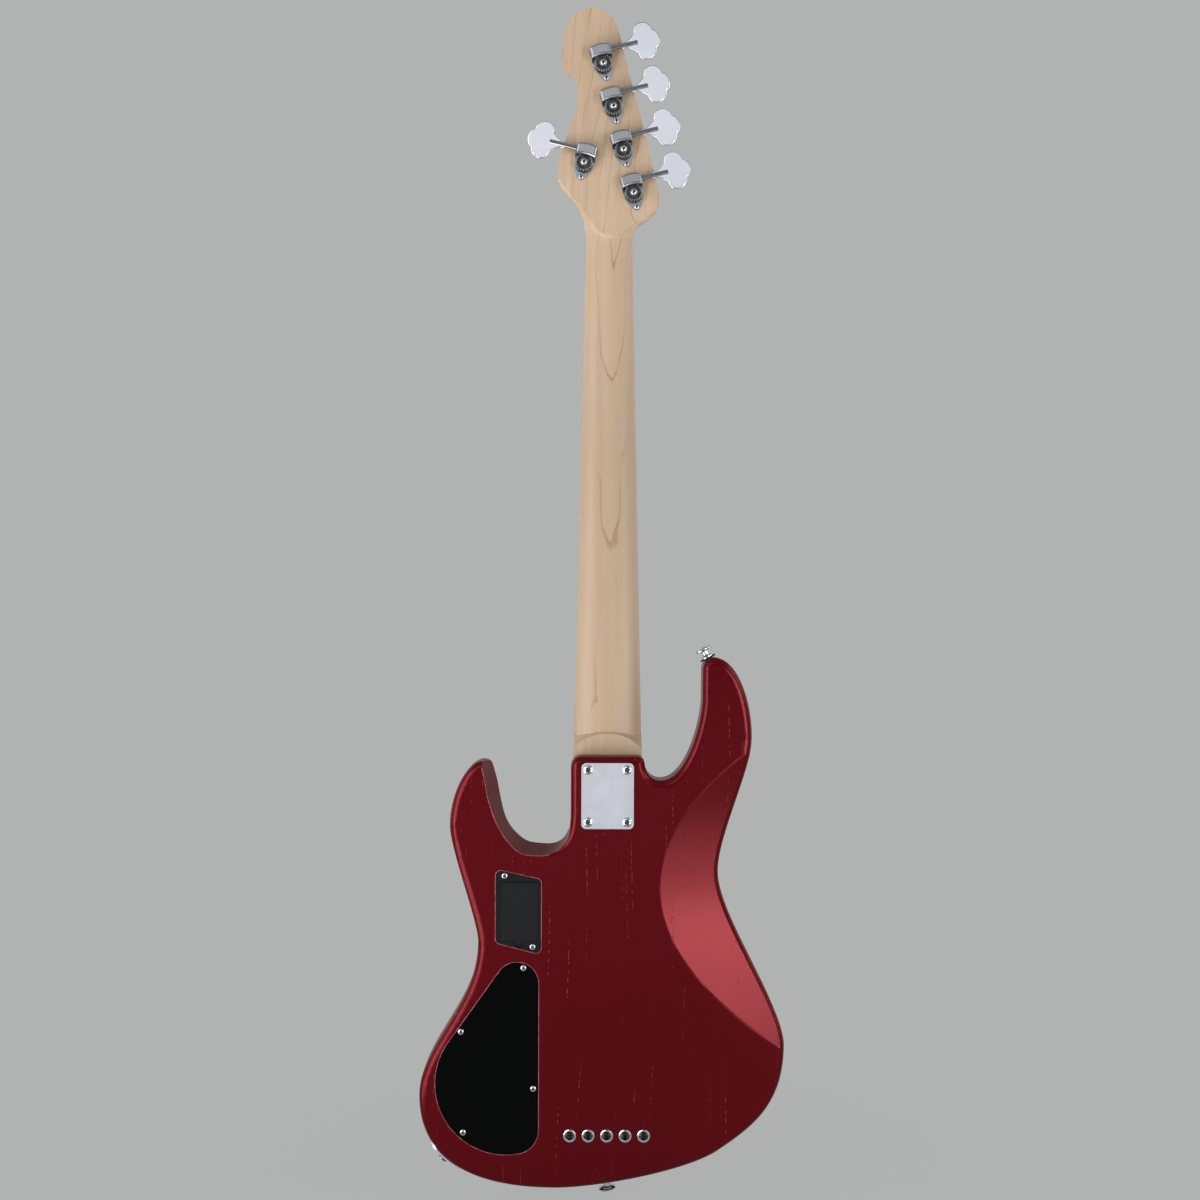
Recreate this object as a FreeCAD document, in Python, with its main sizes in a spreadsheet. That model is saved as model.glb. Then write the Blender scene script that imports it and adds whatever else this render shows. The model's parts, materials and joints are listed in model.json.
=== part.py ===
import FreeCAD, Part
import math
import os

# Five-string electric bass guitar with a bolt-on neck.
# Frame: the origin is the middle of the nut on the playing surface of the fingerboard.
# Z runs up the neck, X to the bass side and Y out of the front, so the back faces -Y.
# Depth is counted from the fingerboard's playing surface towards the back.

doc = FreeCAD.newDocument("bass_guitar")
sheet = doc.addObject("Spreadsheet::Sheet", "sizes")

SIZES = {
    "scale_length": 863.6,
    "nut_width": 46.4,
    "heel_width": 71.0,
    "pocket_length": 75.6,
    "neck_depth_at_nut": 21.0,
    "neck_depth_at_heel": 24.0,
    "board_thickness": 6.0,
    "board_radius": 400.0,
    "fret_height": 1.2,
    "body_thickness": 42.0,
    "board_lift": 9.0,
    "pocket_depth": 17.0,
    "back_round": 7.0,
    "front_round": 6.0,
    "belly_radius": 437.0,
    "belly_tilt": 14.0,
    "head_drop": 9.5,
    "head_thickness": 14.5,
    "cover_thickness": 2.0,
    "front_wall": 5.0,
    "plate_width": 51.0,
    "plate_height": 64.0,
    "plate_thickness": 1.6,
    "string_pitch": 18.0,
    "nut_pitch": 9.6,
    "string_height": 5.4,
    "ferrule_setback": 18.3,
    "ferrule_radius": 6.2,
    "post_radius": 4.9,
    "tuner_pitch": 43.7,
    "tooth_module": 0.8,
    "worm_radius": 4.0,
    "shaft_radius": 2.3,
    "key_thickness": 2.4,
    "knob_radius": 9.5,
    "knob_height": 15.0,
    "jack_bore": 3.2,
    "running_gap": 0.06,
    "seat_gap": 0.3,
}

TEETH = 20
STRINGS = 5
BACK = FreeCAD.Vector(0, -1, 0)
FRONT = FreeCAD.Vector(0, 1, 0)
UP = FreeCAD.Vector(0, 0, 1)

for row, (alias, value) in enumerate(SIZES.items(), start=1):
    sheet.set("A%d" % row, alias.replace("_", " "))
    sheet.set("B%d" % row, str(value))
    sheet.setAlias("B%d" % row, alias)
doc.recompute()


class Size:
    """A length that knows both its value and the sheet expression behind it."""

    def __init__(self, value, text):
        self.value = float(value)
        self.text = text

    def join(self, other, sign, value):
        text = other.text if isinstance(other, Size) else repr(float(other))
        return Size(value, "(%s %s %s)" % (self.text, sign, text))

    def __add__(self, other):
        return self.join(other, "+", self.value + float(other))

    def __sub__(self, other):
        return self.join(other, "-", self.value - float(other))

    def __mul__(self, other):
        return self.join(other, "*", self.value * float(other))

    def __truediv__(self, other):
        return self.join(other, "/", self.value / float(other))

    def __neg__(self):
        return Size(-self.value, "(-1 * %s)" % self.text)

    def __float__(self):
        return self.value


def size(alias):
    return Size(sheet.get(alias), "sizes." + alias)


def bind(thing, prop, length):
    if isinstance(length, Size):
        thing.setExpression(prop, length.text)
    else:
        setattr(thing, prop, length)


scale = size("scale_length")
gap = size("seat_gap")
run_gap = size("running_gap")
board = size("board_thickness")
body_front = size("board_lift")
body_back = body_front + size("body_thickness")
pocket_floor = body_front + size("pocket_depth")
head_front = size("head_drop")
head_back = head_front + size("head_thickness")
half_nut = size("nut_width") / 2
HEEL_TOP = 350.2
neck_length = scale + size("pocket_length") - HEEL_TOP
BOARD_OVERHANG = 20.0
FRETS = int(12 * math.log2(float(scale) / (float(scale - neck_length) - BOARD_OVERHANG)))
taper = (float(size("heel_width")) - float(size("nut_width"))) / 2 / float(neck_length)
string_pitch = size("string_pitch")
SADDLE_LINE = -float(scale)
PIECES = []


def spot(x, depth, z):
    return FreeCAD.Vector(float(x), -float(depth), float(z))


def on_body(x, depth, z):
    """A point given from the middle of the saddle line."""
    return spot(x, depth, float(z) + SADDLE_LINE)


def half_width(z):
    """Half the width of the neck at a height."""
    return float(half_nut) - taper * float(z)


# Flat geometry for sketches: first number to the bass side, second number up

def flat(x, z):
    return FreeCAD.Vector(float(x), float(z), 0)


def ring(x, z, radius):
    return [Part.Circle(flat(x, z), UP, float(radius))]


def loop(points):
    ends = points[1:] + points[:1]
    return [Part.LineSegment(flat(*a), flat(*b)) for a, b in zip(points, ends)]


def rounded(arcs):
    """A closed outline of arcs (centre, radius, two angles) joined by straight lines."""
    out = []
    ends = []
    for x, z, radius, first, last in arcs:
        points = []
        for angle in (first, (first + last) / 2, last):
            turn = math.radians(angle)
            points.append(flat(x + radius * math.cos(turn), z + radius * math.sin(turn)))
        out.append(Part.Arc(*points))
        ends.append((points[0], points[2]))
    for (start, end), (following, last) in zip(ends, ends[1:] + ends[:1]):
        if end.distanceToPoint(following) > 1e-6:
            out.append(Part.LineSegment(end, following))
    return out


def flow(nodes):
    """A smooth line through nodes of x, z, heading in degrees, handle in and handle out."""
    out = []
    for a, b in zip(nodes[:-1], nodes[1:]):
        start = flat(a[0], a[1])
        end = flat(b[0], b[1])
        leave = flat(math.cos(math.radians(a[2])), math.sin(math.radians(a[2])))
        arrive = flat(math.cos(math.radians(b[2])), math.sin(math.radians(b[2])))
        curve = Part.BezierCurve()
        curve.setPoles([start, start + leave * a[4], end - arrive * b[3], end])
        out.append(curve.toBSpline())
    return out


def closed(curves, *through):
    """Closes a run of curves with straight lines through further points."""
    points = [curves[-1].EndPoint] + [flat(*p) for p in through] + [curves[0].StartPoint]
    return curves + [Part.LineSegment(a, b) for a, b in zip(points[:-1], points[1:])]


# Building steps shared by the pieces

def new_body(name, on_saddle_line=False):
    body = doc.addObject("PartDesign::Body", name)
    if on_saddle_line:
        body.setExpression("Placement.Base.z", (-scale).text)
    return body


def sketch(body, name, shapes, role="XZ_Plane", offset=0.0):
    made = body.newObject("Sketcher::SketchObject", name)
    plane = next(f for f in body.Origin.OriginFeatures if f.Role == role)
    made.AttachmentSupport = (plane, [""])
    made.MapMode = "FlatFace"
    if isinstance(offset, Size):
        made.setExpression("AttachmentOffset.Base.z", offset.text)
    else:
        made.AttachmentOffset = FreeCAD.Placement(FreeCAD.Vector(0, 0, offset), FreeCAD.Rotation())
    made.addGeometry(shapes, False)
    return made


def pad(body, name, shapes, offset, length, role="XZ_Plane"):
    made = body.newObject("PartDesign::Pad", name)
    made.Profile = sketch(body, name + "_sketch", shapes, role, offset)
    bind(made, "Length", length)
    return made


def pocket(body, name, shapes, offset, length, role="XZ_Plane", along=False):
    """Cuts against the sketch normal, or along it."""
    made = body.newObject("PartDesign::Pocket", name)
    made.Profile = sketch(body, name + "_sketch", shapes, role, offset)
    made.Reversed = along
    bind(made, "Length", length)
    return made


def turned(name, profile):
    """A piece turned about its own Z axis from points of radius and height."""
    body = new_body(name)
    points = [(float(r), float(z)) for r, z in profile]
    made = body.newObject("PartDesign::Revolution", name + "_turn")
    made.Profile = sketch(body, name + "_profile", loop(points))
    made.ReferenceAxis = (made.Profile[0], ["V_Axis"])
    made.Angle = 360
    return body


def rod(name, radius, length, start, heading):
    made = doc.addObject("Part::Cylinder", name)
    bind(made, "Radius", radius)
    bind(made, "Height", length)
    made.Placement = stand(start, heading)
    return made


def block(name, low, high):
    made = doc.addObject("Part::Box", name)
    made.Length, made.Width, made.Height = (abs(b - a) for a, b in zip(low, high))
    made.Placement.Base = FreeCAD.Vector(*(min(a, b) for a, b in zip(low, high)))
    return made


def stand(point, heading):
    """Stands a turned piece on a point with its own Z axis along a heading."""
    return FreeCAD.Placement(point, FreeCAD.Rotation(UP, heading))


def cut(name, base, tools):
    made = doc.addObject("Part::Cut", name)
    made.Base = base
    made.Tool = tools[0] if len(tools) == 1 else gathered(name + "_tools", tools)
    return made


def common(name, a, b):
    made = doc.addObject("Part::Common", name)
    made.Base = a
    made.Tool = b
    return made


def fused(name, parts):
    made = doc.addObject("Part::MultiFuse", name)
    made.Shapes = parts
    made.Refine = True
    return made


def gathered(name, parts):
    made = doc.addObject("Part::Compound", name)
    made.Links = parts
    return made


def placed(name, master, placement):
    doc.recompute()
    made = doc.addObject("Part::Feature", name)
    made.Shape = master.Shape.copy()
    made.Placement = placement.multiply(master.Placement)
    return made


def shaped(name, shape):
    made = doc.addObject("Part::Feature", name)
    made.Shape = shape
    return made


def extruded(name, shapes, start, along):
    """Slides a flat outline, lying at a depth, along a direction."""
    made = doc.addObject("Sketcher::SketchObject", name + "_sketch")
    made.Placement = FreeCAD.Placement(spot(0, start, 0), FreeCAD.Rotation(FreeCAD.Vector(1, 0, 0), 90))
    made.addGeometry(shapes, False)
    slid = doc.addObject("Part::Extrusion", name)
    slid.Base = made
    slid.DirMode = "Custom"
    slid.Dir = along
    slid.LengthFwd = along.Length
    slid.Solid = True
    return slid


def piece(label, thing):
    thing.Label = label
    PIECES.append((label, thing))
    return thing


def group(label, master, placements):
    copies = [placed("%s_%d" % (label, n), master, p) for n, p in enumerate(placements, start=1)]
    return piece(label, gathered(label + "_group", copies))


def screw(name, head, crown, shank, length):
    """A round-headed screw: its head seats on the origin and its shank runs down."""
    return turned(name, [(0, -length), (shank, -length), (shank, 0), (head, 0), (head, crown * 0.35),
                         (head * 0.62, crown * 0.92), (0, crown)])


def normal_angle(a, b):
    return math.degrees(math.atan2(b[1] - a[1], b[0] - a[0])) - 90


def soft_loop(points, radius, grow=0.0):
    """A convex outline, counter-clockwise, with rounded corners, moved out by grow."""
    arcs = []
    for before, corner, after in zip(points[-1:] + points[:-1], points, points[1:] + points[:1]):
        first = normal_angle(before, corner)
        last = normal_angle(corner, after)
        last += 360 * math.ceil((first - last) / 360)
        ways = [(math.cos(math.radians(a)), math.sin(math.radians(a))) for a in (first, last)]
        share = radius / (1 + ways[0][0] * ways[1][0] + ways[0][1] * ways[1][1])
        centre = [corner[k] - share * (ways[0][k] + ways[1][k]) for k in (0, 1)]
        arcs.append((centre[0], centre[1], radius + grow, first, last))
    return rounded(arcs)


def panel(x0, z0, x1, z1, radius):
    """A rectangle with rounded corners."""
    x0, z0, x1, z1 = (float(v) for v in (x0, z0, x1, z1))
    return soft_loop([(x0, z0), (x1, z0), (x1, z1), (x0, z1)], float(radius))


# Body outline, from the treble side of the heel round the lower horn, the tail and the upper horn
HEEL_SIDE = -35.9
OUTLINE = [
    (HEEL_SIDE, 305.0, -90, 20, 20),
    (-59.1, 260.7, 180, 23.7, 26),
    (-103.3, 294.4, 102.3, 18, 13),
    (-112.5, 337.5, 104, 12, 4.7),
    (-122.5, 345.3, 180, 4.7, 14.5),
    (-154.0, 283.0, -90, 31, 24),
    (-126.0, 169.0, -90, 20, 64),
    (-183.0, 19.0, -90, 50, 56),
    (-50.0, -71.0, 0, 92, 40),
    (108.5, -34.1, 34, 36.6, 43.3),
    (173.0, 70.0, 90, 58, 36),
    (108.8, 237.0, 90, 43, 34),
    (140.8, 370.0, 90, 34, 36),
    (104.0, 447.0, 180, 22, 6.5),
    (92.8, 435.5, -90, 6.2, 10),
    (92.6, 408.0, -89, 10, 21),
    (52.4, 327.0, 180, 26, 10),
    (36.2, 343.5, 95, 9, 3.5),
    (29.0, HEEL_TOP, 180, 4, 15),
    (HEEL_SIDE + 10, HEEL_TOP, 180, 15, 5.5),
    (HEEL_SIDE, HEEL_TOP - 10, -90, 5.5, 10),
    (HEEL_SIDE, 305.0, -90, 10, 20),
]
# Slanted wall of the lower cutaway: its line on the back and its line on the front
BEVEL_BACK = [(-124.0, 352.0, -88, 0, 12), (-119.0, 322.0, -83, 8, 14), (-98.2, 269.0, -50, 18, 16),
              (-66.0, 253.8, 0, 20, 16), (-36.8, 275.8, 78, 12, 10), (-36.4, 306.0, 92, 12, 0)]
BEVEL_FRONT = [(-116.0, 352.0, -88, 0, 12), (-108.4, 322.0, -79, 8, 14), (-91.4, 273.0, -47, 18, 16),
               (-59.1, 261.5, 0, 20, 14), (-38.9, 276.4, 75, 9, 8), (-37.2, 306.0, 92, 12, 0)]
CUTAWAY_MIDDLE = (-60.0, 352.0)
BELLY_START = (51.0, 223.0)

outline = flow(OUTLINE)
outline_wire = Part.Wire([c.toShape() for c in outline])


def rim_point(x, z):
    """The nearest point of the body outline, the way out of the body there and the bend radius."""
    aim = flat(x, z)
    best = min(outline, key=lambda c: c.value(c.parameter(aim)).distanceToPoint(aim))
    where = best.parameter(aim)
    point = best.value(where)
    along = best.tangent(where)[0]
    return point, flat(along.y, -along.x), 1 / best.curvature(where)


def edge_middle(edge):
    return edge.valueAt((edge.FirstParameter + edge.LastParameter) / 2)


def rim_edges(shape, depth):
    """Names of the outline edges at a depth, leaving out the heel block."""
    names = []
    for n, edge in enumerate(shape.Edges, start=1):
        middle = edge_middle(edge)
        level = abs(middle.y + float(depth)) < 0.01 and edge.BoundBox.YLength < 0.01
        heel = middle.z > HEEL_TOP - 14.5 and abs(middle.x) < 37
        if level and not heel:
            names.append("Edge%d" % n)
    return names


def rounded_over(body, name, base, names, radius):
    made = body.newObject("PartDesign::Fillet", name)
    made.Base = (base, names)
    bind(made, "Radius", radius)
    return made


thick = size("body_thickness")
wood = new_body("body_wood", True)
blank = pad(wood, "blank", outline, body_front, thick)
doc.recompute()
front_edge = rounded_over(wood, "front_edge", blank, rim_edges(blank.Shape, body_front),
                          size("front_round"))
doc.recompute()
back_edge = rounded_over(wood, "back_edge", front_edge, rim_edges(front_edge.Shape, body_back),
                         size("back_round"))
bevel = wood.newObject("PartDesign::SubtractiveLoft", "cutaway_bevel")
bevel.Profile = sketch(wood, "bevel_back", closed(flow(BEVEL_BACK), CUTAWAY_MIDDLE), offset=body_back)
bevel.Sections = [sketch(wood, "bevel_front", closed(flow(BEVEL_FRONT), CUTAWAY_MIDDLE), offset=body_front)]
bevel.Ruled = True
belly = wood.newObject("PartDesign::SubtractiveCylinder", "belly_cut")
belly_radius = size("belly_radius")
tilt = math.radians(float(size("belly_tilt")))
lean = FreeCAD.Vector(math.cos(tilt), math.sin(tilt), 0)
away = FreeCAD.Vector(math.sin(tilt), -math.cos(tilt), 0)
bind(belly, "Radius", belly_radius)
belly.Height = 600
belly.Placement = stand(spot(BELLY_START[0], body_back, BELLY_START[1]) + away * float(belly_radius)
                        - lean * 300, lean)
doc.recompute()
scooped = [f for f in belly.Shape.Faces
           if isinstance(f.Surface, Part.Cylinder) and abs(f.Surface.Radius - float(belly_radius)) < 0.01]
belly_rim = []
for number, edge in enumerate(belly.Shape.Edges, start=1):
    middle = edge_middle(edge)
    on_scoop = any(f.Surface.projectPoint(middle).distanceToPoint(middle) < 0.01 for f in scooped)
    level = Part.Vertex(flat(middle.x, middle.z))
    if on_scoop and edge.BoundBox.YLength > 0.01 and outline_wire.distToShape(level)[0] < 0.05:
        belly_rim.append("Edge%d" % number)
rounded_over(wood, "belly_edge", belly, belly_rim, size("front_round"))

# Control cover: two round ends and a large tail, joined by tangents, with a straight inner edge
COVER_EDGE = -66.6
COVER_TAIL = (-98.0, 32.0, 69.0)
COVER_TOP = (COVER_EDGE - 21.0, 129.2, 21.0)
foot_x = COVER_EDGE - 23.0
foot_z = COVER_TAIL[1] - math.sqrt((COVER_TAIL[2] - 23.0) ** 2 - (foot_x - COVER_TAIL[0]) ** 2)
COVER_FOOT = (foot_x, foot_z, 23.0)


def cover_outline(grow):
    across = COVER_TOP[0] - COVER_TAIL[0]
    rise = COVER_TOP[1] - COVER_TAIL[1]
    swing = math.acos((COVER_TAIL[2] - COVER_TOP[2]) / math.hypot(across, rise))
    side = math.degrees(math.atan2(rise, across) + swing)
    foot = math.degrees(math.atan2(COVER_FOOT[1] - COVER_TAIL[1], COVER_FOOT[0] - COVER_TAIL[0])) + 360
    grown = [(x, z, radius + grow) for x, z, radius in (COVER_TOP, COVER_TAIL, COVER_FOOT)]
    return rounded([grown[0] + (0, side), grown[1] + (side, foot), grown[2] + (foot, 360)])


cover = size("cover_thickness")
front_wall = size("front_wall")
LEDGE = 7.0
BATTERY_FRAME = [(-108.7, 169.2), (-64.3, 157.9), (-64.3, 230.9), (-108.7, 240.6)]
BATTERY_LID = (-104.4, 170.7, -67.3, 228.7)
FRAME_THICK = 2.5
WELL_WALL = 1.2
WELL_DEPTH = 24.0
well = (BATTERY_LID[0] + 0.2, BATTERY_LID[1] + 0.2, BATTERY_LID[2] - 0.2, BATTERY_LID[3] + WELL_WALL)
PLATE_MIDDLE = HEEL_TOP - float(size("pocket_length")) / 2
PICKUPS = (64.0, 156.0)
PICKUP_HALF = (52.0, 9.75)
EARS = [(26.0, 12.8), (-26.0, 12.8), (26.0, -12.8), (-26.0, -12.8)]
KNOBS = {"volume": (-92.0, 118.0), "balance": (-108.0, 82.0), "treble": (-124.0, 46.0),
         "bass": (-132.0, 8.0)}

seat = float(gap)
pocket_end = float(scale) - float(neck_length) - seat
wall_low = half_width(pocket_end - float(scale)) + seat
wall_high = half_width(HEEL_TOP - float(scale)) + seat
shoulder = HEEL_TOP - 14.2
clear_top = HEEL_TOP + 4
open_side = HEEL_SIDE - 24
bass_side = wall_high + 11
pocket(wood, "neck_pocket", loop([(open_side, pocket_end), (wall_low, pocket_end),
                                  (wall_high + 0.6, shoulder), (bass_side, shoulder),
                                  (bass_side, clear_top), (open_side, clear_top)]),
       body_front, size("pocket_depth"), along=True)
for number, middle in enumerate(PICKUPS, start=1):
    reach = (PICKUP_HALF[0] + 0.5, PICKUP_HALF[1] + 0.5)
    pocket(wood, "pickup_route_%d" % number,
           panel(-reach[0], middle - reach[1], reach[0], middle + reach[1], 4.5), body_front, 19,
           along=True)
pocket(wood, "cover_rebate", cover_outline(seat), body_back, cover)
pocket(wood, "control_cavity", cover_outline(-LEDGE), body_back, thick - front_wall)
pocket(wood, "frame_rebate", soft_loop(BATTERY_FRAME, 5.0, seat), body_back, FRAME_THICK)
pocket(wood, "battery_route", panel(well[0] - seat, well[1] - seat, well[2] + seat, well[3] + seat, 1.5),
       body_back, WELL_DEPTH + seat)
doc.recompute()

# Holes through the body
MIDDLE = (float(body_front) + float(body_back)) / 2
ferrule_z = -float(size("ferrule_setback"))
ferrule_radius = size("ferrule_radius")
bridge_x = [float(string_pitch) * (2 - n) for n in range(STRINGS)]
PLATE_SCREWS = [(x, PLATE_MIDDLE + z) for x in (-19.0, 19.0) for z in (-25.4, 25.4)]
COVER_SCREWS = [(-81.4, 144.8), (-142.1, 82.6), (-71.6, 27.4), (-139.8, -15.3)]
FRAME_SCREWS = [(-100.0, 234.4), (-72.6, 165.4)]
BRIDGE_SCREWS = [(-42.0, -26.0), (0.0, -26.0), (42.0, -26.0), (-27.0, 17.0), (27.0, 17.0)]
jack_point, jack_way, jack_bend = rim_point(-159.8, -45.3)
jack_out = FreeCAD.Vector(jack_way.x, 0, jack_way.y)
jack_foot = on_body(jack_point.x, MIDDLE + 2, jack_point.y)
JACK_PLATE = (40.0, 26.0, 1.6)
JACK_LIFT = 0.25
JACK_SCREW_OFF = 15.0
plate_top = JACK_LIFT + JACK_PLATE[2]
jack_screw_stands = []
for side in (-1, 1):
    swing = FreeCAD.Rotation(FRONT, side * math.degrees(JACK_SCREW_OFF / jack_bend))
    way = swing.multVec(jack_out)
    jack_screw_stands.append(stand(jack_foot - jack_out * jack_bend + way * (jack_bend + plate_top), way))
STRAPS = [rim_point(98.6, 446.0), rim_point(-0.3, -68.0)]
WASHER = 1.2
strap_stands = []
for point, way, bend in STRAPS:
    strap_stands.append(stand(on_body(point.x, MIDDLE, point.y), FreeCAD.Vector(way.x, 0, way.y)))

holes = []


def hole(radius, length, start, heading):
    holes.append(rod("hole_%d" % (len(holes) + 1), radius, length, start, heading))


for x, z in PLATE_SCREWS:
    hole(2.5, 30, on_body(x, body_back + 1, z), FRONT)
for x, z in COVER_SCREWS:
    hole(1.35, 12, on_body(x, body_back, z), FRONT)
for x, z in FRAME_SCREWS:
    hole(1.35, 12, on_body(x, body_back, z), FRONT)
for x, z in BRIDGE_SCREWS:
    hole(1.6, 19, on_body(x, body_front - 1, z), BACK)
for x in bridge_x:
    hole(ferrule_radius - 0.9, 12.2, on_body(x, body_back, ferrule_z), FRONT)
    hole(2.4, 60, on_body(x, body_back, ferrule_z), FRONT)
for x, z in KNOBS.values():
    hole(4.6, 10, on_body(x, body_front - 2, z), BACK)
for middle in PICKUPS:
    for x, z in EARS:
        hole(5.2, 6, on_body(x, body_front - 1, middle + z), BACK)
        hole(1.3, 20, on_body(x, body_front, middle + z), BACK)
for placement in strap_stands:
    way = placement.Rotation.multVec(UP)
    hole(1.9, 32, placement.Base + way * 2, -way)
for placement in jack_screw_stands:
    hole(1.35, 12, placement.Base, -placement.Rotation.multVec(UP))
hole(9.6, 42, jack_foot + jack_out * 6, -jack_out)
hole(3.5, 34, on_body(-44, 22, PICKUPS[0]), spot(-1, 0.1, 0.0))
hole(3.5, PICKUPS[1] - PICKUPS[0] - 10, on_body(-30, 22, PICKUPS[0] + 5), UP)
hole(3.5, 40, on_body(-86, body_back - 18, 140), UP)
piece("body", cut("body_cut", wood, holes))
doc.recompute()

# Neck: a tapering shaft, a heel with an arched upper end and a headstock with a raised back flat
NUT_LENGTH = 5.0
SHAFT_TOP = NUT_LENGTH + 1.5
heel_z = HEEL_TOP - float(scale)
SHAFT_END = heel_z - 16.6
HEAD_LEFT = [(-23.4, 0.0, 92, 0, 9), (-29.5, 27.5, 118, 9, 9), (-51.4, 59.5, 90, 11, 26),
             (-31.4, 142.0, 88, 30, 6), (-38.4, 160.6, 138, 6, 4.5), (-47.0, 167.6, 94, 2.8, 38),
             (-16.5, 226.0, 0, 23, 17), (12.3, 190.0, -77, 22, 44), (49.2, 36.0, -87, 22, 9),
             (33.0, 14.5, -148, 11, 8), (23.4, 0.0, -93, 7, 0)]
TONGUE = [(-62.0, 70.6, -52, 0, 20), (-12.0, 7.3, -52, 20, 8), (12.0, 3.0, 33, 9, 15),
          (62.0, 36.0, 33, 15, 0)]
HEEL_ARCH = (-40.0, heel_z - 2.6), (0.0, heel_z + 20.9), (40.0, heel_z - 2.6)
ROW_TURN = 13.4
TUNER_ONE = (24.0, 41.1)
TUNER_FIVE = (-25.2, 70.7)


def neck_section(name, z, depth):
    """The flat-topped C shape of the neck, standing across it at a height."""
    wide = half_width(z)
    top = float(board)
    full = 0.64 * (float(depth) - top)
    nodes = [(-wide, -top, -90, 0, full), (0, -float(depth), 0, 0.62 * wide, 0.62 * wide),
             (wide, -top, 90, full, 0)]
    made = doc.addObject("Sketcher::SketchObject", name)
    made.Placement.Base = FreeCAD.Vector(0, 0, z)
    made.addGeometry(closed(flow(nodes)), False)
    return made


depth_slope = (float(size("neck_depth_at_heel")) - float(size("neck_depth_at_nut"))) / -(heel_z + 23.4)
shaft = doc.addObject("Part::Loft", "neck_shaft")
shaft.Sections = [neck_section("section_%d" % n, z, float(size("neck_depth_at_nut")) - depth_slope * z)
                  for n, z in enumerate((SHAFT_TOP, SHAFT_END), start=1)]
shaft.Solid = True
shaft.Ruled = True

heel_end = -float(neck_length)
heel_deep = pocket_floor - board
plan_top = heel_z + 33.4
heel_plan = extruded("heel_plan", loop([(-half_width(heel_end), heel_end), (half_width(heel_end), heel_end),
                                        (half_width(plan_top), plan_top), (-half_width(plan_top), plan_top)]),
                     board, BACK * float(heel_deep))
arch = [Part.Arc(*(flat(*p) for p in HEEL_ARCH))]
below = heel_end - 51
sides = [(60, heel_z - 2.6), (60, below), (-60, below), (-60, heel_z - 2.6)]
heel_sweep = extruded("heel_sweep", closed(arch, *sides), pocket_floor,
                      spot(0, -float(heel_deep), 0.8 * float(heel_deep)))
head_plan = extruded("head_plan", closed(flow(HEAD_LEFT), (23.4, -3), (-23.4, -3)), head_front,
                     BACK * float(size("head_thickness")))
head_sweep = extruded("head_sweep", closed(flow(TONGUE), (90, 260), (-90, 260)), head_back,
                      spot(0, -float(size("head_thickness")), -float(size("head_thickness"))))
neck_solid = fused("neck_solid", [shaft, common("heel", heel_plan, heel_sweep),
                                  common("head", head_plan, head_sweep)])

# Tuner stands: the post's axis on the headstock's back, X along the key shaft and Z out of the back
row = math.radians(ROW_TURN)
key_way = FreeCAD.Vector(math.cos(row), 0, math.sin(row))
row_way = FreeCAD.Vector(-math.sin(row), 0, math.cos(row))
pitch = float(size("tuner_pitch"))
tuner_stands = []
for number in range(4):
    foot = spot(TUNER_ONE[0], head_back, TUNER_ONE[1]) + row_way * pitch * number
    tuner_stands.append(FreeCAD.Placement(foot, FreeCAD.Rotation(key_way, row_way, BACK, "ZXY")))
left_way = FreeCAD.Vector(key_way.x, 0, -key_way.z)
left_row = FreeCAD.Vector(-row_way.x, 0, row_way.z)
tuner_stands.append(FreeCAD.Placement(spot(TUNER_FIVE[0], head_back, TUNER_FIVE[1]),
                                      FreeCAD.Rotation(left_way, left_row, BACK, "ZXY")))

post_radius = size("post_radius")
sleeve = post_radius + 1.9
TIP_SCREW = -13.2
neck_holes = []
for number, stood in enumerate(tuner_stands, start=1):
    neck_holes.append(rod("post_hole_%d" % number, sleeve + 0.05, 40, stood.Base + BACK * 5, FRONT))
    tip = stood.multVec(FreeCAD.Vector(0, TIP_SCREW, 0))
    neck_holes.append(rod("tip_hole_%d" % number, 1.25, 9, tip, FRONT))
for number, (x, z) in enumerate(PLATE_SCREWS, start=1):
    neck_holes.append(rod("neck_hole_%d" % number, 2.5, 16.2, on_body(x, pocket_floor + 1, z), FRONT))
ROD_DEPTH = 13.0
ROD_TOP = -24.0
rod_length = neck_length + ROD_TOP
rod_start = spot(0, ROD_DEPTH, ROD_TOP)
neck_holes.append(rod("rod_channel", 3.06, rod_length + 1, rod_start, -UP))
piece("truss_rod", rod("truss_rod_bar", 3.0, rod_length, rod_start, -UP))

# Fingerboard with a curved playing surface, frets, dots and nut
board_radius = size("board_radius")
fret_z = [-float(scale) * (1 - 2 ** (-n / 12)) for n in range(FRETS + 1)]
board_end = fret_z[-1] - 9
end_half = half_width(board_end)
board_plan = extruded("board_plan", loop([(-end_half, board_end), (end_half, board_end), (half_width(0), 0),
                                          (-half_width(0), 0)]), 0.0, BACK * float(board))
board_crown = rod("board_crown", board_radius, 40 - board_end, spot(0, board_radius, board_end - 20), UP)
board_solid = common("board_solid", board_plan, board_crown)
doc.recompute()

dot_tools = []
middles = {n: (fret_z[n - 1] + fret_z[n]) / 2 for n in range(1, FRETS + 1)}
for n in [n for n in (3, 5, 7, 9, 12, 15, 17, 19, 21) if n <= FRETS]:
    spread = (-12.0, 12.0) if n == 12 else (0.0,)
    for x in spread:
        dot_tools.append(rod("dot_%d_%d" % (n, x), 3.0, 1.6, spot(x, 1.4, middles[n]), FRONT))
    side_spread = (-3.9, 3.9) if n == 12 else (0.0,)
    for z in side_spread:
        start = spot(half_width(middles[n]) - 2.2, board - 0.3, middles[n] + z)
        dot_tools.append(rod("side_dot_%d_%d" % (n, z), 1.25, 3.0, start, FreeCAD.Vector(1, 0, 0)))
dots = gathered("dot_tools", dot_tools)
neck_cut = cut("neck_cut", neck_solid, neck_holes)
doc.recompute()
dot_solids = []
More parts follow.
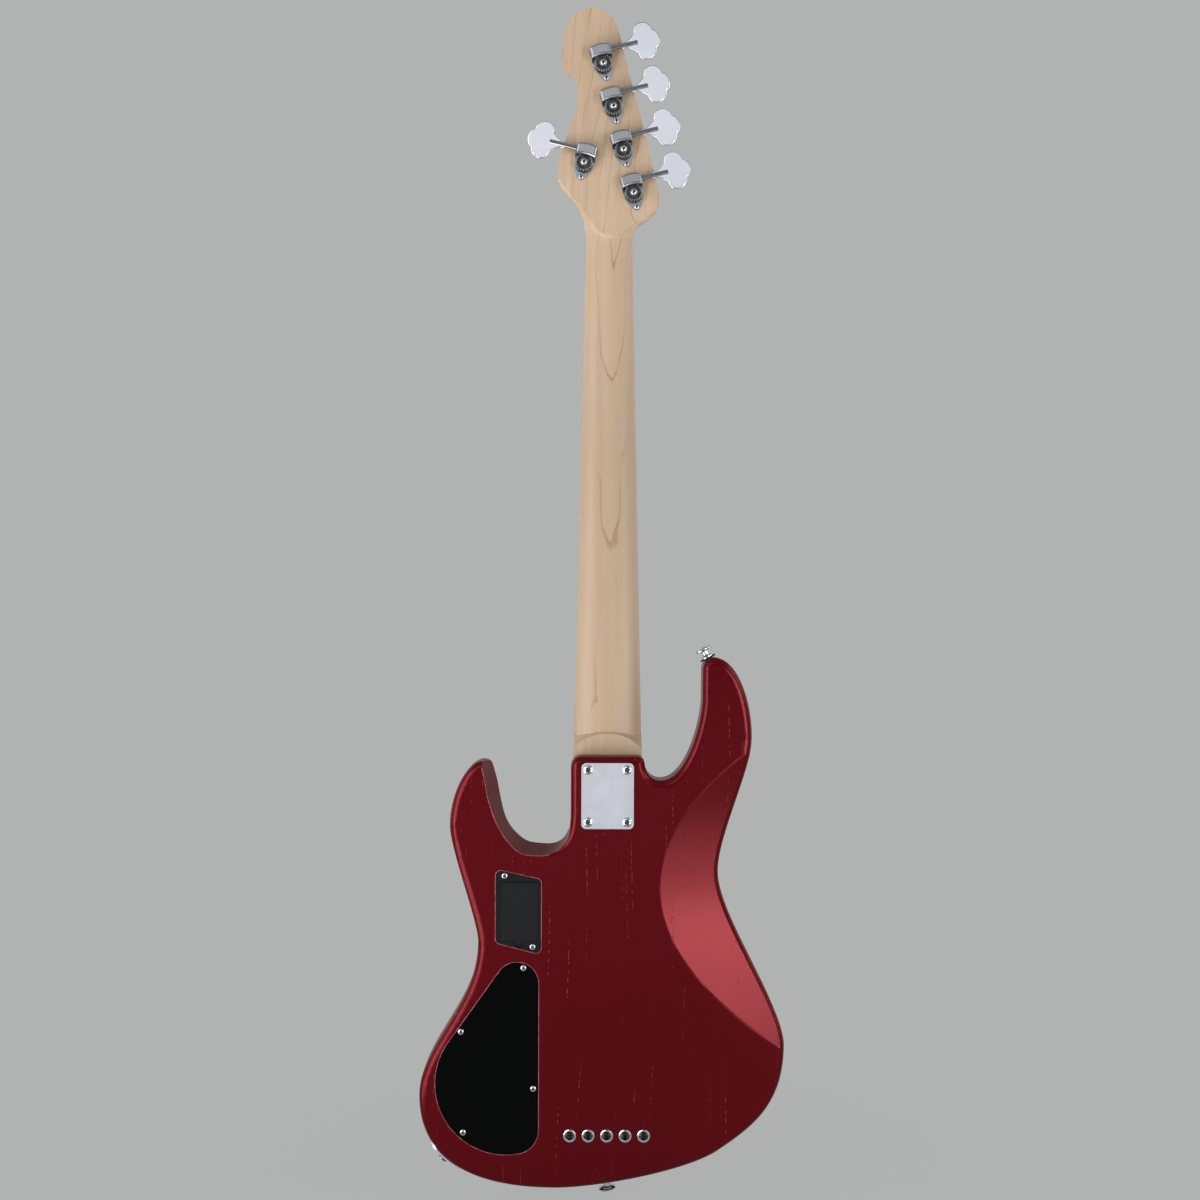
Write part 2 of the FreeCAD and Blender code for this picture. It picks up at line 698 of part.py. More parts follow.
for tool in dot_tools:
    inlay = tool.Shape.common(board_solid.Shape).fuse(tool.Shape.common(neck_cut.Shape)).removeSplitter()
    dot_solids.extend(inlay.Solids)
piece("neck", cut("neck_node", neck_cut, [dots]))
piece("fingerboard", cut("board_node", board_solid, [dots]))
piece("position_dots", shaped("position_dots_set", Part.makeCompound(dot_solids)))

fret_height = float(size("fret_height"))
FRET_HALF = 1.3
crowns = []
for z in fret_z[1:]:
    low, high = spot(0, 0, z - FRET_HALF), spot(0, 0, z + FRET_HALF)
    profile = Part.Wire([Part.Arc(low, spot(0, -fret_height, z), high).toShape(), Part.makeLine(high, low)])
    sweep = math.degrees(2 * math.asin((half_width(z) - 0.4) / float(board_radius)))
    start = Part.Face(profile).rotate(spot(0, board_radius, 0), UP, sweep / 2)
    crowns.append(start.revolve(spot(0, board_radius, 0), -UP, sweep))
piece("frets", shaped("fret_set", Part.makeCompound(crowns)))

# Strings: gauge in mm from the bass side, the tuner each winds on and its turns
GAUGES = (3.30, 2.67, 2.16, 1.65, 1.14)
STRING_TUNER = (0, 1, 2, 3, 4)
TURNS = (1.75, 1.75, 2.25, 2.75, 3.25)
NUT_HEIGHT = 1.8
string_height = float(size("string_height"))
nut_x = [float(size("nut_pitch")) * (2 - n) for n in range(STRINGS)]
WAIST = float(post_radius)
WIND_DEPTH = 4.9
BALL_RADIUS = 2.9
BALL_LENGTH = 5.6
FERRULE_STEP = 10.0


def bent(points, radii):
    """Straight runs through points with tangent arcs at the corners."""
    edges = []
    last = points[0]
    for before, corner, after, radius in zip(points[:-2], points[1:-1], points[2:], radii):
        back = (before - corner).normalize()
        on = (after - corner).normalize()
        turn = math.pi - back.getAngle(on)
        reach = radius * math.tan(turn / 2)
        middle = (back + on).normalize()
        inset = radius / math.cos(turn / 2) - radius
        first, final = corner + back * reach, corner + on * reach
        edges.append(Part.makeLine(last, first))
        edges.append(Part.Arc(first, corner + middle * inset, final).toShape())
        last = final
    edges.append(Part.makeLine(last, points[-1]))
    return edges


def half_arc(start, corner, end):
    """The arc from start to end whose tangents meet at a corner the same distance from both."""
    turn = (corner - start).getAngle(end - corner)
    chord = (start + end) * 0.5
    radius = corner.distanceToPoint(start) / math.tan(turn / 2)
    sag = radius * (1 - math.cos(turn / 2))
    return Part.Arc(start, chord + (corner - chord).normalize() * sag, end).toShape()


def biarc(start, leave, end, arrive):
    """Two arcs that join two points with given headings."""
    span = end - start
    both = leave + arrive
    slack = 2 * (1 - leave.dot(arrive))
    step = (math.sqrt(span.dot(both) ** 2 + slack * span.dot(span)) - span.dot(both)) / slack
    first, second = start + leave * step, end - arrive * step
    middle = (first + second) * 0.5
    return [half_arc(start, first, middle), half_arc(middle, second, end)]


def tube(edges, radius):
    path = Part.Wire(edges)
    heading = edges[0].tangentAt(edges[0].FirstParameter)
    start = edges[0].valueAt(edges[0].FirstParameter)
    ring_wire = Part.Wire([Part.makeCircle(radius, start, heading)])
    return path.makePipeShell([ring_wire], True, False)


def winding(axis, radius, rise, begin, side, turns, heading):
    """Quarter turns round a post from an angle, climbing to the front as they go."""
    edges = []
    quarter = math.pi / 2

    def at(angle, height):
        point = axis + FreeCAD.Vector(math.cos(angle), 0, math.sin(angle)) * radius
        return FreeCAD.Vector(point.x, height, point.z)

    lift = rise / 4
    steps = int(round(turns * 4))
    point = at(begin, axis.y)
    for n in range(1, steps + 1):
        angle = begin + side * quarter * n
        following = at(angle, axis.y + lift * n)
        flat_way = FreeCAD.Vector(-math.sin(angle), 0, math.cos(angle)) * side * quarter * radius
        arrive = (flat_way + FRONT * lift).normalize()
        edges.extend(biarc(point, heading, following, arrive))
        point, heading = following, arrive
    return edges


string_solids = []
nut_slots = []
for number, (gauge, x_nut, x_end) in enumerate(zip(GAUGES, nut_x, bridge_x)):
    radius = gauge / 2
    post = tuner_stands[STRING_TUNER[number]].Base
    axis = FreeCAD.Vector(post.x, -WIND_DEPTH - radius * 0.2, post.z)
    around = WAIST + seat + radius
    side = -1 if post.x > x_nut else 1
    nut_point = FreeCAD.Vector(x_nut, NUT_HEIGHT + radius, NUT_LENGTH / 2)
    reach = math.hypot(axis.x - nut_point.x, axis.z - nut_point.z)
    aim = math.atan2(axis.z - nut_point.z, axis.x - nut_point.x)
    begin = aim + math.pi + side * math.acos(around / reach)
    touch = axis + FreeCAD.Vector(math.cos(begin), 0, math.sin(begin)) * around
    ball = on_body(x_end, body_back - FERRULE_STEP + BALL_RADIUS + 0.05, ferrule_z)
    rise_point = on_body(x_end, 1.5, ferrule_z)
    crest = on_body(x_end, -string_height - radius, -6.5)
    route = bent([ball, rise_point, crest, nut_point, touch], [4.5, 8.0, 30.0])
    nut_slots.append(shaped("nut_slot_%d" % (number + 1), tube(route[-3:], radius + 0.1)))
    heading = (touch - nut_point).normalize()
    route += winding(axis, around, gauge + 0.2, begin, side, TURNS[number], heading)
    end = Part.makeCylinder(BALL_RADIUS, BALL_LENGTH, ball - FreeCAD.Vector(BALL_LENGTH / 2, 0, 0),
                            FreeCAD.Vector(1, 0, 0))
    string_solids.append(tube(route, radius).fuse(end))
    nut_slots.append(block("nut_opening_%d" % (number + 1), (x_nut - radius - 0.4, nut_point.y, -1),
                           (x_nut + radius + 0.4, 12, NUT_LENGTH + 1)))
piece("strings", shaped("string_set", Part.makeCompound(string_solids)))
nut_block = block("nut_block", (-half_width(0), -float(board), 0), (half_width(0), 3.6, NUT_LENGTH))
piece("nut", cut("nut_node", nut_block, nut_slots))

# Neck plate and the screws and covers on the back
plate = new_body("neck_plate_body", True)
plate_half = (size("plate_width") / 2, size("plate_height") / 2)
plate_low = PLATE_MIDDLE - float(plate_half[1])
plate_high = PLATE_MIDDLE + float(plate_half[1])
pad(plate, "plate_sheet", panel(-plate_half[0], plate_low, plate_half[0], plate_high, 4.5), body_back,
    size("plate_thickness"))
for number, (x, z) in enumerate(PLATE_SCREWS, start=1):
    pocket(plate, "plate_hole_%d" % number, ring(x, z, 2.6), body_back, 5, along=True)
piece("neck_plate", plate)
plate_screw = screw("plate_screw", 4.6, 2.6, 2.4, 41)
plate_face = body_back + size("plate_thickness")
group("neck_plate_screws", plate_screw, [stand(on_body(x, plate_face, z), BACK) for x, z in PLATE_SCREWS])

lid = new_body("control_cover_body", True)
pad(lid, "cover_sheet", cover_outline(0), body_back - cover, cover)
for number, (x, z) in enumerate(COVER_SCREWS, start=1):
    pocket(lid, "cover_hole_%d" % number, ring(x, z, 1.4), body_back - cover, 5, along=True)
piece("control_cover", lid)

frame = new_body("battery_box_body", True)
pad(frame, "frame_sheet", soft_loop(BATTERY_FRAME, 5.0), body_back - FRAME_THICK, FRAME_THICK)
pad(frame, "well_walls", panel(well[0], well[1], well[2], well[3], 1.2), body_back - WELL_DEPTH,
    WELL_DEPTH - FRAME_THICK)
pocket(frame, "well_inside", panel(well[0] + WELL_WALL, well[1] + WELL_WALL, well[2] - WELL_WALL,
                                   BATTERY_LID[3], 0.8), body_back, WELL_DEPTH - WELL_WALL)
pocket(frame, "lid_opening", panel(*BATTERY_LID, 1.0), body_back, FRAME_THICK)
pocket(frame, "hinge_room", panel(BATTERY_LID[0], BATTERY_LID[3] - 5.5, BATTERY_LID[2], BATTERY_LID[3], 0.5),
       body_back, FRAME_THICK + 1.1)
NOTCH = (-89.3, 164.8, -82.2, 171.5)
pocket(frame, "latch_notch", panel(*NOTCH, 0.6), body_back, 1.6)
for number, (x, z) in enumerate(FRAME_SCREWS, start=1):
    pocket(frame, "frame_hole_%d" % number, ring(x, z, 1.4), body_back, FRAME_THICK)
HINGE_Z = BATTERY_LID[3] - 2.5
HINGE_DEPTH = body_back - 0.9
HINGE_PIN = 0.6
hinge_low = on_body(BATTERY_LID[0] - 2.2, HINGE_DEPTH, HINGE_Z)
HINGE_LONG = BATTERY_LID[2] - BATTERY_LID[0] + 4.4
EAST = FreeCAD.Vector(1, 0, 0)
LEAD_HOLE = rod("lead_hole", 2.0, 6, on_body(-86, float(body_back) - 18, BATTERY_LID[1] - 3), UP)
pin_sockets = rod("pin_sockets", HINGE_PIN + float(run_gap), HINGE_LONG, hinge_low, EAST)
piece("battery_box", cut("battery_box_cut", frame, [pin_sockets, LEAD_HOLE]))

door = new_body("battery_door_body", True)
DOOR_THICK = 2.2
slack = seat
SWING_ROOM = 0.65
pad(door, "door_sheet", panel(BATTERY_LID[0] + slack, BATTERY_LID[1] + slack, BATTERY_LID[2] - slack,
                              BATTERY_LID[3] - SWING_ROOM, 0.8), body_back - DOOR_THICK, DOOR_THICK)
pad(door, "latch_tab", panel(NOTCH[0] + slack, NOTCH[1] + 2.5, NOTCH[2] - slack, NOTCH[3] + 1, 0.5),
    body_back - 1.2, 1.2)
doc.recompute()
hinge_pin = rod("hinge_pin", HINGE_PIN, HINGE_LONG - 1.0, hinge_low + EAST * 0.5, EAST)
piece("battery_door", fused("battery_door_solid", [door, hinge_pin]))
battery_low = on_body(-98.9, float(body_back) - WELL_DEPTH + WELL_WALL + 17.25, 175.5)
battery_high = battery_low + FreeCAD.Vector(26, 17.2, 46.5)
battery_case = block("battery_case", tuple(battery_low), tuple(battery_high))
contacts = [rod("contact_%d" % n, radius, 2.8, battery_low + FreeCAD.Vector(x, 8.6, 46.5), UP)
            for n, (x, radius) in enumerate(((6.7, 2.9), (19.3, 3.8)), start=1)]
piece("battery", fused("battery_solid", [battery_case] + contacts))

small_screw = screw("small_screw", 2.9, 1.7, 1.25, 10)
cover_seats = [stand(on_body(x, body_back, z), BACK) for x, z in COVER_SCREWS + FRAME_SCREWS]

# String ferrules, strap buttons and the jack
ferrule_low = ferrule_radius - 1.0
ferrule = turned("ferrule", [(ferrule_low, -12), (ferrule_low, 0), (ferrule_radius, 0),
                             (ferrule_radius, 0.6), (ferrule_radius - 0.8, 1.1), (4.6, 1.1), (4.2, 0.6),
                             (4.2, -FERRULE_STEP), (2.2, -FERRULE_STEP), (2.2, -12)])
group("string_ferrules", ferrule, [stand(on_body(x, body_back, ferrule_z), BACK) for x in bridge_x])

button = turned("strap_button", [(1.95, 0), (5.6, 0), (5.6, 1.2), (3.15, 3.2), (3.15, 6.4), (7.6, 7.6),
                                 (8.5, 8.4), (8.5, 9.2), (7.4, 10.0), (4.4, 10.0), (1.95, 8.0)])
washer = turned("strap_washer", [(2.0, 0), (8.0, 0), (8.0, WASHER), (2.0, WASHER)])
button_screw = turned("button_screw", [(0, -25), (1.8, -25), (1.8, 8.0), (3.6, 9.6), (2.4, 10.6),
                                       (0, 11.0)])
lifted = FreeCAD.Placement(UP * WASHER, FreeCAD.Rotation())
group("strap_buttons", button, [p.multiply(lifted) for p in strap_stands])
group("strap_washers", washer, strap_stands)
group("strap_button_screws", button_screw, [p.multiply(lifted) for p in strap_stands])

jack_stand = stand(jack_foot, jack_out)
curve_axis = jack_foot - jack_out * jack_bend - FRONT * 20
outer_skin = Part.makeCylinder(jack_bend + plate_top, 40, curve_axis, FRONT)
inner_skin = Part.makeCylinder(jack_bend + JACK_LIFT, 40, curve_axis, FRONT)
side_way = jack_out.cross(FRONT)
half_long, half_wide = JACK_PLATE[0] / 2, JACK_PLATE[1] / 2
rim = [g.toShape() for g in panel(-half_wide, -half_long, half_wide, half_long, 9.0)]
stadium = Part.Face(Part.Wire(Part.__sortEdges__(rim))).extrude(UP * 40)
stadium.Placement = FreeCAD.Placement(jack_foot - jack_out * 20,
                                      FreeCAD.Rotation(FRONT, side_way, jack_out, "ZXY"))
jack_drill = Part.makeCylinder(4.9, 60, jack_foot - jack_out * 30, jack_out)
jack_sheet = stadium.common(outer_skin).cut(inner_skin).cut(jack_drill)
for placement in jack_screw_stands:
    way = placement.Rotation.multVec(UP)
    jack_sheet = jack_sheet.cut(Part.makeCylinder(1.4, 20, placement.Base - way * 10, way))
piece("jack_plate", shaped("jack_plate_sheet", jack_sheet))
group("cover_screws", small_screw, cover_seats + jack_screw_stands)
jack_bore = size("jack_bore")
JACK_LONG = 29.0
BUSH = 4.75
bush_end = plate_top + 4.6
barrel = turned("jack_barrel", [(0, -JACK_LONG), (8.6, -JACK_LONG), (8.6, -2), (BUSH, -2), (BUSH, bush_end),
                                (jack_bore + 0.5, bush_end), (jack_bore, bush_end - 0.5),
                                (jack_bore, 2 - JACK_LONG), (0, 2 - JACK_LONG)])
NUT_CORNER = 7.6
hexagon = [(NUT_CORNER * math.cos(math.radians(60 * n)), NUT_CORNER * math.sin(math.radians(60 * n)))
           for n in range(6)]
jack_nut = new_body("jack_nut")
pad(jack_nut, "jack_nut_flats", loop(hexagon) + ring(0, 0, BUSH - 0.2), plate_top, 2.6, role="XY_Plane")
group("jack_socket", fused("jack_body", [barrel, jack_nut]), [jack_stand])

# Bridge: a bent plate, five saddles and their screws
PLATE_TOP = body_front - 3.0
bridge = new_body("bridge_plate_body", True)
TAIL = -34.0
pad(bridge, "bridge_base", panel(-49, TAIL, 49, 24, 3), PLATE_TOP, 3.0)
pad(bridge, "bridge_wall", panel(-49, TAIL, 49, TAIL + 3, 1), -3.2, PLATE_TOP + 3.2)
for number, x in enumerate(bridge_x, start=1):
    pocket(bridge, "string_hole_%d" % number, ring(x, ferrule_z, 2.6), PLATE_TOP, 5, along=True)
for number, (x, z) in enumerate(BRIDGE_SCREWS, start=1):
    pocket(bridge, "fixing_hole_%d" % number, ring(x, z, 1.65), PLATE_TOP, 5, along=True)
SCREW_SIDE = 5.2
SCREW_DEPTH = 1.0
doc.recompute()
wall_holes = [rod("wall_hole_%d" % n, 1.45, 8, on_body(x + SCREW_SIDE, SCREW_DEPTH, TAIL - 2), UP)
              for n, x in enumerate(bridge_x, start=1)]
piece("bridge_plate", cut("bridge_plate_cut", bridge, wall_holes))
bridge_screw = screw("bridge_screw", 3.4, 2.2, 1.5, 20)
group("bridge_screws", bridge_screw, [stand(on_body(x, PLATE_TOP, z), FRONT) for x, z in BRIDGE_SCREWS])
SADDLE = (-11.0, 4.0)
SADDLE_HALF = 8.3
SLOT_HALF = 2.3
saddle_top = string_height - 0.1
saddle = new_body("saddle_block")
saddle_low = PLATE_TOP - 0.3
side_view = [Part.LineSegment(flat(-float(saddle_low), SADDLE[0]), flat(-float(saddle_low), SADDLE[1])),
             Part.LineSegment(flat(-float(saddle_low), SADDLE[1]), flat(saddle_top - 3.0, SADDLE[1])),
             Part.LineSegment(flat(saddle_top - 3.0, SADDLE[1]), flat(saddle_top, 1.2)),
             Part.LineSegment(flat(saddle_top, 1.2), flat(saddle_top, -2.0)),
             Part.LineSegment(flat(saddle_top, -2.0), flat(saddle_top - 4.0, SADDLE[0])),
             Part.LineSegment(flat(saddle_top - 4.0, SADDLE[0]), flat(-float(saddle_low), SADDLE[0]))]
pad(saddle, "saddle_side", side_view, -SADDLE_HALF, 2 * SADDLE_HALF, role="YZ_Plane")
pocket(saddle, "string_slot", panel(-SLOT_HALF, SADDLE[0] - 3, SLOT_HALF, -2.0, 1.0), -20.0, 40.0,
       along=True)
pocket(saddle, "screw_bore", ring(SCREW_SIDE, -SCREW_DEPTH, 1.3 + float(run_gap)), SADDLE[0], 40,
       role="XY_Plane", along=True)
doc.recompute()
for number, x in enumerate(bridge_x, start=1):
    piece("saddle_%d" % number, placed("saddle_copy_%d" % number, saddle, stand(on_body(x, 0, 0), UP)))
slide_screw = screw("slide_screw", 2.4, 2.0, 1.3, 40)
group("intonation_screws", slide_screw,
      [stand(on_body(x + SCREW_SIDE, SCREW_DEPTH, TAIL), -UP) for x in bridge_x])

# Pickups with pole pieces and fixing screws
pickup = new_body("pickup_cover")
PICKUP_TOP = 2.2
EAR_FACE = body_front + 0.4
pad(pickup, "cover_shell", panel(-PICKUP_HALF[0], -PICKUP_HALF[1], PICKUP_HALF[0], PICKUP_HALF[1], 4.0),
    PICKUP_TOP, body_front + 12 - PICKUP_TOP)
for number, (x, z) in enumerate(EARS, start=1):
    pad(pickup, "ear_%d" % number, ring(x, z, 4.7), EAR_FACE, 2.0)
doc.recompute()
for number, (x, z) in enumerate(EARS, start=1):
    pocket(pickup, "ear_hole_%d" % number, ring(x, z, 1.3), EAR_FACE, 30, along=True)
doc.recompute()
top_edges = ["Edge%d" % n for n, e in enumerate(pickup.Shape.Edges, start=1)
             if abs(e.BoundBox.YMin + PICKUP_TOP) < 0.01 and e.BoundBox.YLength < 0.01]
rounded_over(pickup, "cover_round", pickup.Tip, top_edges, 1.4)
doc.recompute()
pole_spots = []
for middle in PICKUPS:
    for x_end, x_nut in zip(bridge_x, nut_x):
        x = x_end + (x_nut - x_end) * middle / float(scale)
        pole_spots.extend([(x - 4.3, middle), (x + 4.3, middle)])
pole = turned("pole", [(0, -9), (2.35, -9), (2.35, 0.5), (1.9, 0.9), (0, 0.9)])
pole_holes = [rod("pole_hole_%d" % n, 2.4, 12, on_body(x, PICKUP_TOP - 2, z), BACK)
              for n, (x, z) in enumerate(pole_spots, start=1)]
shells = gathered("pickup_shells", [placed("pickup_%d" % n, pickup, stand(on_body(0, 0, z), UP))
                                    for n, z in enumerate(PICKUPS, start=1)])
piece("pickup_covers", cut("pickup_cut", shells, pole_holes))
group("pickup_poles", pole, [stand(on_body(x, PICKUP_TOP, z), FRONT) for x, z in pole_spots])
ear_screw = screw("ear_screw", 2.6, 1.5, 1.2, 15)
group("pickup_screws", ear_screw, [stand(on_body(x, EAR_FACE, middle + z), FRONT)
                                   for middle in PICKUPS for x, z in EARS])

# Controls: knobs on their shafts, pots under the front wall, preamp board and wiring
knob_radius = size("knob_radius")
knob_height = size("knob_height")
SHAFT = 3.0
knob = turned("knob_cap", [(7.0, 0), (knob_radius, 0), (knob_radius, knob_height - 3),
                           (knob_radius - 1, knob_height - 1), (knob_radius - 3, knob_height),
                           (0, knob_height), (0, knob_height - 4), (SHAFT + 0.05, knob_height - 4),
                           (SHAFT + 0.05, 2.5), (7.0, 2.5)])
wall_inside = body_front + front_wall
KNOB_FOOT = body_front - 0.8
POT_BORE = 6.3
shaft_length = wall_inside - KNOB_FOOT + POT_BORE + knob_height - 4.4
pot_bush = SHAFT + float(run_gap)
pot = turned("pot_can", [(0, -9.5), (8.2, -9.5), (8.2, 0), (4.5, 0), (4.5, front_wall + 2),
                         (pot_bush, front_wall + 2), (pot_bush, -POT_BORE), (0, -POT_BORE)])
for name, (x, z) in KNOBS.items():
    cap = placed("cap_" + name, knob, stand(on_body(x, KNOB_FOOT, z), FRONT))
    stem = rod("stem_" + name, SHAFT, shaft_length, on_body(x, wall_inside + POT_BORE - 0.2, z), FRONT)
    piece("knob_" + name, gathered("knob_set_" + name, [cap, stem]))
group("pots", pot, [stand(on_body(x, wall_inside, z), FRONT) for x, z in KNOBS.values()])
BOARD_DEPTH = wall_inside + 14
BOARD = (-112.0, -22.0, -78.0, 14.0)
circuit = new_body("preamp_board_body", True)
pad(circuit, "circuit_sheet", panel(*BOARD, 1.0), BOARD_DEPTH, 1.6)
for number, (x, z) in enumerate(((BOARD[0] + 4, BOARD[1] + 4), (BOARD[2] - 4, BOARD[3] - 4)), start=1):
    pad(circuit, "leg_%d" % number, ring(x, z, 2.0), wall_inside, BOARD_DEPTH - wall_inside)
for number, (x, z) in enumerate(((-103.0, -8.0), (-90.0, -8.0)), start=1):
    pad(circuit, "chip_%d" % number, panel(x - 3.5, z - 5, x + 3.5, z + 5, 0.5), BOARD_DEPTH + 1.6, 3.0)
piece("preamp_board", circuit)
lead_depth = float(BOARD_DEPTH) + 0.8
WIRE = 1.1
pack_depth = float(body_back) - 18
jack_end = jack_foot - jack_out * (JACK_LONG + 0.1)
lead_end = 0.75
leads = [
    [on_body(-86, pack_depth, 173.5), on_body(-86, pack_depth, 24),
     on_body(-86, lead_depth, BOARD[3] + lead_end)],
    [jack_end, jack_end - jack_out * 12, on_body(BOARD[0] - lead_end, lead_depth, -4)],
    [on_body(-40, 22.3, PICKUPS[0]), on_body(-74, 25.6, PICKUPS[0]),
     on_body(BOARD[2] - 8, lead_depth, BOARD[3] + lead_end)],
]
lead_solids = [tube(bent(points, [5.0]), WIRE) for points in leads]
piece("wiring", shaped("wiring_set", Part.makeCompound(lead_solids)))

# Open-geared tuner in its own frame: X along the key shaft, Y up the row, Z out of the headstock's back
module = size("tooth_module")
worm_radius = size("worm_radius")
gear_radius = module * TEETH / 2
worm_away = float(gear_radius + worm_radius)
worm_pitch = math.pi * float(module)
key_shaft = size("shaft_radius")
PLATE_SHEET = 1.3
COVER_SIDE = 10.2
COVER_WALL = 1.2
GEAR_THICK = 4.0
addendum = float(module)
flank = math.tan(math.radians(20))
worm_tip = float(worm_radius) + addendum
worm_room = worm_tip + 0.4
AXLE = PLATE_SHEET + worm_room + 0.1
cover_low = worm_away - worm_room - 0.3
cover_high = worm_away + worm_room + 1.0
cover_tall = AXLE + worm_room + COVER_WALL
gear_low = AXLE - GEAR_THICK / 2

HOOD_ARCH = 0.9
HOOD_CORNER = 3.4
hood_side = cover_high - HOOD_CORNER


def both_sides(nodes):
    """A run of nodes that ends on the Y axis, and its mirror image run back to the start."""
    mirrored = [(-x, y, -heading, after, before) for x, y, heading, before, after in reversed(nodes)]
    return nodes[:-1] + mirrored


HOOD_TOP = [(COVER_SIDE, hood_side, 90, 2.0, 1.8),
            (COVER_SIDE - 2.6, cover_high - HOOD_ARCH, 164, 1.6, 2.4), (0.0, cover_high, 180, 3.0, 3.0)]
SHIELD_SIDE = [(0.0, -16.5, 0, 0, 2.2), (6.9, -8.8, 62, 4.0, 4.0), (COVER_SIDE, 3.0, 90, 4.0, 3.0)]
shield = new_body("tuner_shield")
pad(shield, "shield_sheet", flow(SHIELD_SIDE + both_sides(HOOD_TOP)
                                 + [(-x, y, -heading, after, before)
                                    for x, y, heading, before, after in reversed(SHIELD_SIDE)]),
    0.0, PLATE_SHEET, role="XY_Plane")
pocket(shield, "post_way", ring(0, 0, post_radius + 0.4), 0.0, 5, role="XY_Plane", along=True)
pocket(shield, "tip_way", ring(0, TIP_SCREW, 1.3), 0.0, 5, role="XY_Plane", along=True)
hood = new_body("worm_hood")
hood_foot = cover_low - 1.4
hood_plan = flow([(COVER_SIDE, hood_foot, 90, 0, 2.0)] + both_sides(HOOD_TOP)
                 + [(-COVER_SIDE, hood_foot, -90, 2.0, 0)])
hood_mouth = Part.Arc(flat(-COVER_SIDE, hood_foot), flat(0, cover_low + 0.4), flat(COVER_SIDE, hood_foot))
hood_block = pad(hood, "hood_block", hood_plan + [hood_mouth], PLATE_SHEET, cover_tall - PLATE_SHEET,
                 role="XY_Plane")
doc.recompute()
hood_rim = ["Edge%d" % n for n, e in enumerate(hood_block.Shape.Edges, start=1)
            if abs(e.BoundBox.ZMin - cover_tall) < 0.01]
rounded_over(hood, "hood_round", hood_block, hood_rim, 2.0)
inside = COVER_SIDE - 1.6
pocket(hood, "worm_tunnel", ring(worm_away, AXLE, worm_room), -inside, 2 * inside, role="YZ_Plane",
       along=True)
mouth_tall = AXLE + GEAR_THICK / 2 + 1
gear_mouth = loop([(hood_foot - 1, PLATE_SHEET), (worm_away, PLATE_SHEET), (worm_away, mouth_tall),
                   (hood_foot - 1, mouth_tall)])
pocket(hood, "gear_mouth", gear_mouth, -inside, 2 * inside, role="YZ_Plane", along=True)
pocket(hood, "shaft_bearings", ring(worm_away, AXLE, key_shaft + run_gap), -20.0, 40.0, role="YZ_Plane",
       along=True)


def tooth_half(radius):
    """Half the thickness of a tooth at a radius; thin enough to run free in the worm."""
    return 0.19 * worm_pitch - (radius - float(gear_radius)) * flank


gear_points = []
gear_root = float(gear_radius) - 1.3 * addendum
gear_tip = float(gear_radius) + addendum
for tooth in range(TEETH):
    middle = math.radians(90 + 360 / TEETH * (tooth + 0.5))
    for radius, sign in ((gear_root, -1), (gear_tip, -1), (gear_tip, 1), (gear_root, 1)):
        angle = middle + sign * tooth_half(radius) / radius
        gear_points.append((radius * math.cos(angle), radius * math.sin(angle)))
BOSS = 3.5
wheel = new_body("tuner_wheel")
pad(wheel, "wheel_teeth", loop(gear_points) + ring(0, 0, BOSS + 0.05), gear_low, GEAR_THICK,
    role="XY_Plane")

head = float(size("head_thickness"))
post_top = -head - 18
boss_end = gear_low + GEAR_THICK - 0.2
post_body = turned("tuner_post", [(0, boss_end), (BOSS, boss_end), (BOSS, gear_low), (post_radius, gear_low),
                                  (post_radius, -head - 1.5), (post_radius + 1.5, -head - 1.5),
                                  (post_radius + 1.5, -head - 2.2), (WAIST, -head - 2.4),
                                  (WAIST, -head - 12.7), (post_radius + 1.7, -head - 14.2),
                                  (post_radius + 1.7, post_top + 0.6), (post_radius + 1.1, post_top),
                                  (0, post_top)])
doc.recompute()
post_slot = block("post_slot", (-10, -1.8, post_top - 1), (10, 1.8, post_top + 4.5))
post_eye = rod("post_eye", 1.8, 9, FreeCAD.Vector(0, 0, post_top - 1), UP)
slotted = cut("slotted_post", post_body, [post_slot, post_eye])
bush_bore = post_radius + run_gap
bushing = turned("bushing", [(bush_bore, -0.3), (sleeve, -0.3), (sleeve, -head), (sleeve + 2.3, -head),
                             (sleeve + 2.3, -head - 0.8), (sleeve + 1.9, -head - 1.2),
                             (bush_bore, -head - 1.2)])

worm_turns = 4
helix = Part.makeHelix(worm_pitch, worm_turns * worm_pitch, float(worm_radius))
worm_root = float(worm_radius) - 1.25 * addendum
profile = []
for radius, sign in ((worm_root - 0.2, -1), (worm_tip, -1), (worm_tip, 1), (worm_root - 0.2, 1)):
    half = 0.19 * worm_pitch - (radius - float(worm_radius)) * flank
    profile.append(FreeCAD.Vector(radius, 0, sign * half))
thread = Part.Wire(helix).makePipeShell([Part.makePolygon(profile + profile[:1])], True, True)
thread.translate(UP * -worm_turns * worm_pitch / 2)
thread = thread.fuse(Part.makeCylinder(worm_root, 2 * inside - 1.0, FreeCAD.Vector(0, 0, 0.5 - inside)))
axle_point = FreeCAD.Vector(0, worm_away, AXLE)
worm = shaped("worm_thread", thread)
worm.Placement = FreeCAD.Placement(axle_point, FreeCAD.Rotation(BACK, -UP, EAST, "ZXY"))
KEY_START = 22.5
KEY_SIDE = [(KEY_START, 2.9, 3, 0, 4.0), (30.2, 5.0, 34, 3.4, 2.6), (36.0, 11.0, 86, 2.8, 4.2),
            (44.5, 18.4, 0, 4.7, 4.7), (53.6, 8.7, -62, 5.4, 1.7), (59.4, 0.0, -90, 4.9, 4.9)]
key_thick = size("key_thickness")
key_low = AXLE - float(key_thick) / 2
KEY_ROUND = 0.6
AXLE_END = KEY_START + 8
SHAFT_TIP = 37.6
left_end = COVER_SIDE + 0.8
clover = new_body("clover_plate")
